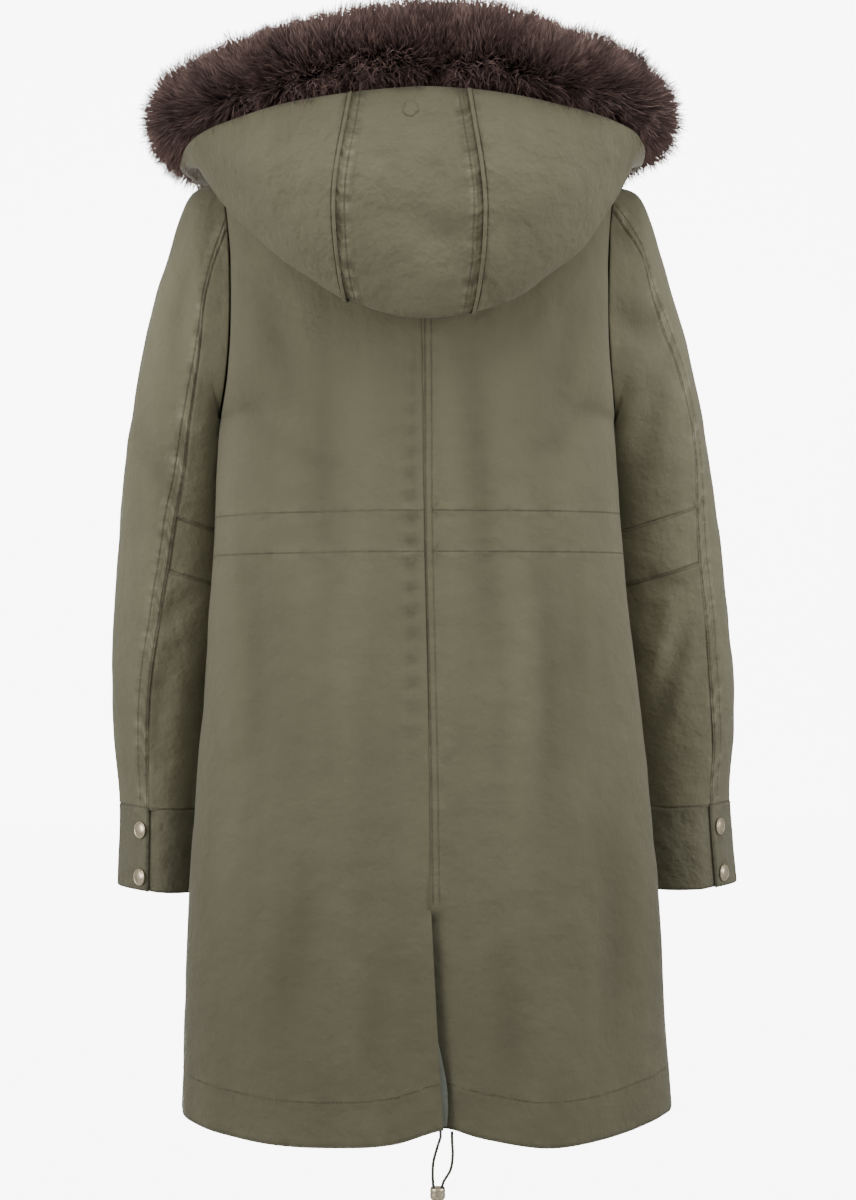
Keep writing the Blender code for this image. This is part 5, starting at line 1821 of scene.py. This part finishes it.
@dataclass
class Stitching:
    """Rows of single stitches along the panels' stitched lines."""

    finish: bpy.types.Material
    pitch: float = 0.0034
    length: float = 0.0027
    width: float = 0.00058
    flatness: float = 0.8
    raised: float = 0.0001

    def bead(self) -> bpy.types.Object:
        """One stitch, a metre long and a metre thick, to be scaled."""
        rings = [(-0.5, 0.10), (0.0, 0.55), (0.5, 0.10)]
        turns = np.radians([45, 135, 225, 315])
        points = [[(x, radius * math.cos(t), radius * math.sin(t)) for t in turns] for x, radius in rings]
        return linked("stitch", grid_mesh("stitch", np.array(points), closed=True))

    def recipe(self) -> Recipe:
        """The tree that sets stitches along lines."""
        sockets = {"Pitch": "NodeSocketFloat", "Size": "NodeSocketVector", "Stitch": "NodeSocketObject"}
        r = Recipe("set_stitches", sockets)
        source = r.source.outputs
        curve = r.node("GeometryNodeMeshToCurve", None, {"Mesh": source["Geometry"]})
        even = r.node("GeometryNodeResampleCurve", {"mode": "LENGTH"},
                      {"Curve": curve.outputs[0], "Length": source["Pitch"]})
        tangent = r.node("GeometryNodeInputTangent")
        turn = r.node("FunctionNodeAxesToRotation", {"primary_axis": "X", "secondary_axis": "Z"},
                      {0: tangent.outputs[0], 1: r.named("facing", "FLOAT_VECTOR")})
        bead = r.node("GeometryNodeObjectInfo", None, {"Object": source["Stitch"]})
        placed = r.node("GeometryNodeInstanceOnPoints", None,
                        {"Points": even.outputs[0], "Instance": bead.outputs["Geometry"],
                         "Rotation": turn.outputs[0], "Scale": source["Size"]})
        real = r.node("GeometryNodeRealizeInstances", None, {0: placed.outputs[0]})
        r.finish(real.outputs[0], self.finish)
        return r

    def build(self, groups: dict[str, list[Array]]) -> None:
        """Builds one piece of stitches for each named group of lines."""
        recipe, bead = self.recipe(), self.bead()
        for name, lines in groups.items():
            points = np.concatenate([line[:, :3] + self.raised * line[:, 3:] for line in lines])
            facing = np.concatenate([line[:, 3:] for line in lines])
            edges, start = [], 0
            for line in lines:
                edges += [(start + k, start + k + 1) for k in range(len(line) - 1)]
                start += len(line)
            mesh = bpy.data.meshes.new("lines")
            mesh.from_pydata(points.tolist(), edges, [])
            keep_values(mesh, "facing", facing)
            base = linked("lines", mesh)
            size = (self.length, self.width, self.width * self.flatness)
            made = recipe.grow(base, name, Pitch=self.pitch, Size=size, Stitch=bead)
            if "facing" in made.data.attributes:
                made.data.attributes.remove(made.data.attributes["facing"])
            bpy.data.objects.remove(base)
            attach(made, "root")
            LOG.info("%s: %d faces", name, len(made.data.polygons))
        bpy.data.objects.remove(bead)


# ---------------------------------------------------------------- the studio

@dataclass
class Studio:
    """The camera behind the coat, a plain pale floor and soft light."""

    distance: float = 2.3
    azimuth: float = -3.0
    height: float = -0.407
    across: float = 0.00968
    view_height: float = 1.056
    floor_z: float = -1.60
    room: float = 16.0
    bend: float = 3.0
    wall: float = 12.0
    sensor: float = 36.0
    paint: tuple[float, float, float] = (0.34, 0.34, 0.34)
    glow: float = 8.0
    sky: float = 0.55
    aim: tuple[float, float, float] = (0.0, -0.05, -0.25)
    lights: tuple[tuple[str, tuple[float, float, float], float, float], ...] = (
        ("key", (0.3, -1.4, 1.8), 1.2, 23.0),
        ("left", (-2.3, -1.2, 0.0), 1.3, 38.0),
        ("right", (2.3, -1.2, 0.1), 1.3, 31.0),
        ("top", (0.2, -0.2, 2.2), 1.6, 13.0),
    )

    def build(self) -> None:
        """Builds the camera, the floor, the sky and the lights."""
        self.camera()
        self.floor()
        world = bpy.data.worlds.new("sky")
        world.use_nodes = True
        world.node_tree.nodes["Background"].inputs["Color"].default_value = (1.0, 1.0, 1.0, 1.0)
        world.node_tree.nodes["Background"].inputs["Strength"].default_value = self.sky
        bpy.context.scene.world = world
        for name, where, size, power in self.lights:
            self.light(name, where, size, power)

    def camera(self) -> None:
        """Adds the camera, level and a little left of the centre back."""
        turn = math.radians(self.azimuth)
        ahead = np.array([-math.sin(turn), math.cos(turn), 0.0])
        right = np.array([math.cos(turn), math.sin(turn), 0.0])
        camera = bpy.data.cameras.new("camera")
        camera.sensor_fit = "VERTICAL"
        camera.sensor_height = self.sensor
        camera.lens = self.sensor * self.distance / self.view_height
        view = linked("camera", camera)
        view.location = -self.distance * ahead + right * self.across + np.array([0, 0, self.height])
        view.rotation_euler = (math.radians(90), 0, turn)
        bpy.context.scene.camera = view

    def floor(self) -> None:
        """Adds the floor, which bends up into a round wall that glows behind the coat."""
        bend = np.radians(np.linspace(0, 90, 13))
        inner = self.room - self.bend
        curve = [(inner + self.bend * math.sin(a), self.bend * (1 - math.cos(a))) for a in bend]
        profile = [(0.01, 0.0), (2.0, 0.0), *curve, (self.room, self.wall)]
        turns = np.radians(np.linspace(0, 360, 97))
        rows = [[(r * math.cos(t), r * math.sin(t), self.floor_z + z) for t in turns] for r, z in profile]
        floor = linked("floor", grid_mesh("floor", np.array(rows)))
        paint = Surface("pale_floor")
        body = paint.place()
        grain = paint.noise(body, 3.0)
        split = paint.node("ShaderNodeSeparateXYZ", None, {0: body}).outputs
        ahead, across, up = (Wire(paint, split[axis]) for axis in "YXZ")
        aside = across.math("ABSOLUTE") / (ahead + self.distance).math("MAXIMUM", 0.5)
        glow = paint.ramp(ahead, 1.7, 2.7) * paint.ramp(aside, 0.20, 0.36, 1.0, 0.0)
        glow = glow * paint.ramp(up, 4.2, 7.0, 1.0, 0.0)
        paint.set(Base_Color=paint.shaded(self.paint, 0.99 + grain * 0.02), Roughness=0.9)
        paint.set(Specular_IOR_Level=0.0)
        glowing = paint.blend(glow, (0.02, 0.02, 0.02, 1.0), (1.0, 1.0, 1.0, 1.0))
        paint.set(Emission_Color=glowing, Emission_Strength=self.glow)
        paint.material.cycles.emission_sampling = "NONE"
        floor.data.materials.append(paint.material)

    def light(self, name: str, where: tuple[float, float, float], size: float, power: float) -> None:
        """Adds a soft square light that looks at the coat's middle."""
        data = bpy.data.lights.new(name, "AREA")
        data.shape, data.size, data.energy = "SQUARE", size, power
        lamp = linked(name, data)
        lamp.location = where
        lamp.rotation_euler = (Vector(self.aim) - Vector(where)).to_track_quat("-Z", "Y").to_euler()


FRONT_STUDS = 5
STUD_SUNK = 0.0006


def main() -> None:
    """Builds the studio, then the coat's pieces in order, logging their sizes."""
    logging.basicConfig(level=logging.INFO, format="%(name)s %(message)s")
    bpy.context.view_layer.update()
    Studio().build()
    form, finishes = Form(), Finishes()
    HemCord(finishes).build()
    body = Body(form, finishes)
    body.build()
    for number in range(FRONT_STUDS):
        node = f"front_stud_{number + 1}"
        low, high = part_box(node)
        where = np.array([(low.x + high.x) / 2, low.y + STUD_SUNK, (low.z + high.z) / 2])
        PressStud(node, where, np.array([0.0, 1.0, 0.0]), finishes.metal).build()
    groups = {"stitches_body": body.lines()}
    for side in Side:
        sleeve = Sleeve(form, finishes, side=side)
        sleeve.build()
        groups[f"stitches_sleeve_{side.name.lower()}"] = sleeve.lines()
    hood = Hood(form, finishes)
    hood.build()
    groups["stitches_hood"] = hood.lines()
    Stitching(finishes.thread).build(groups)
    FurTrim(form, finishes).build()


if __name__ == "__main__":
    main()
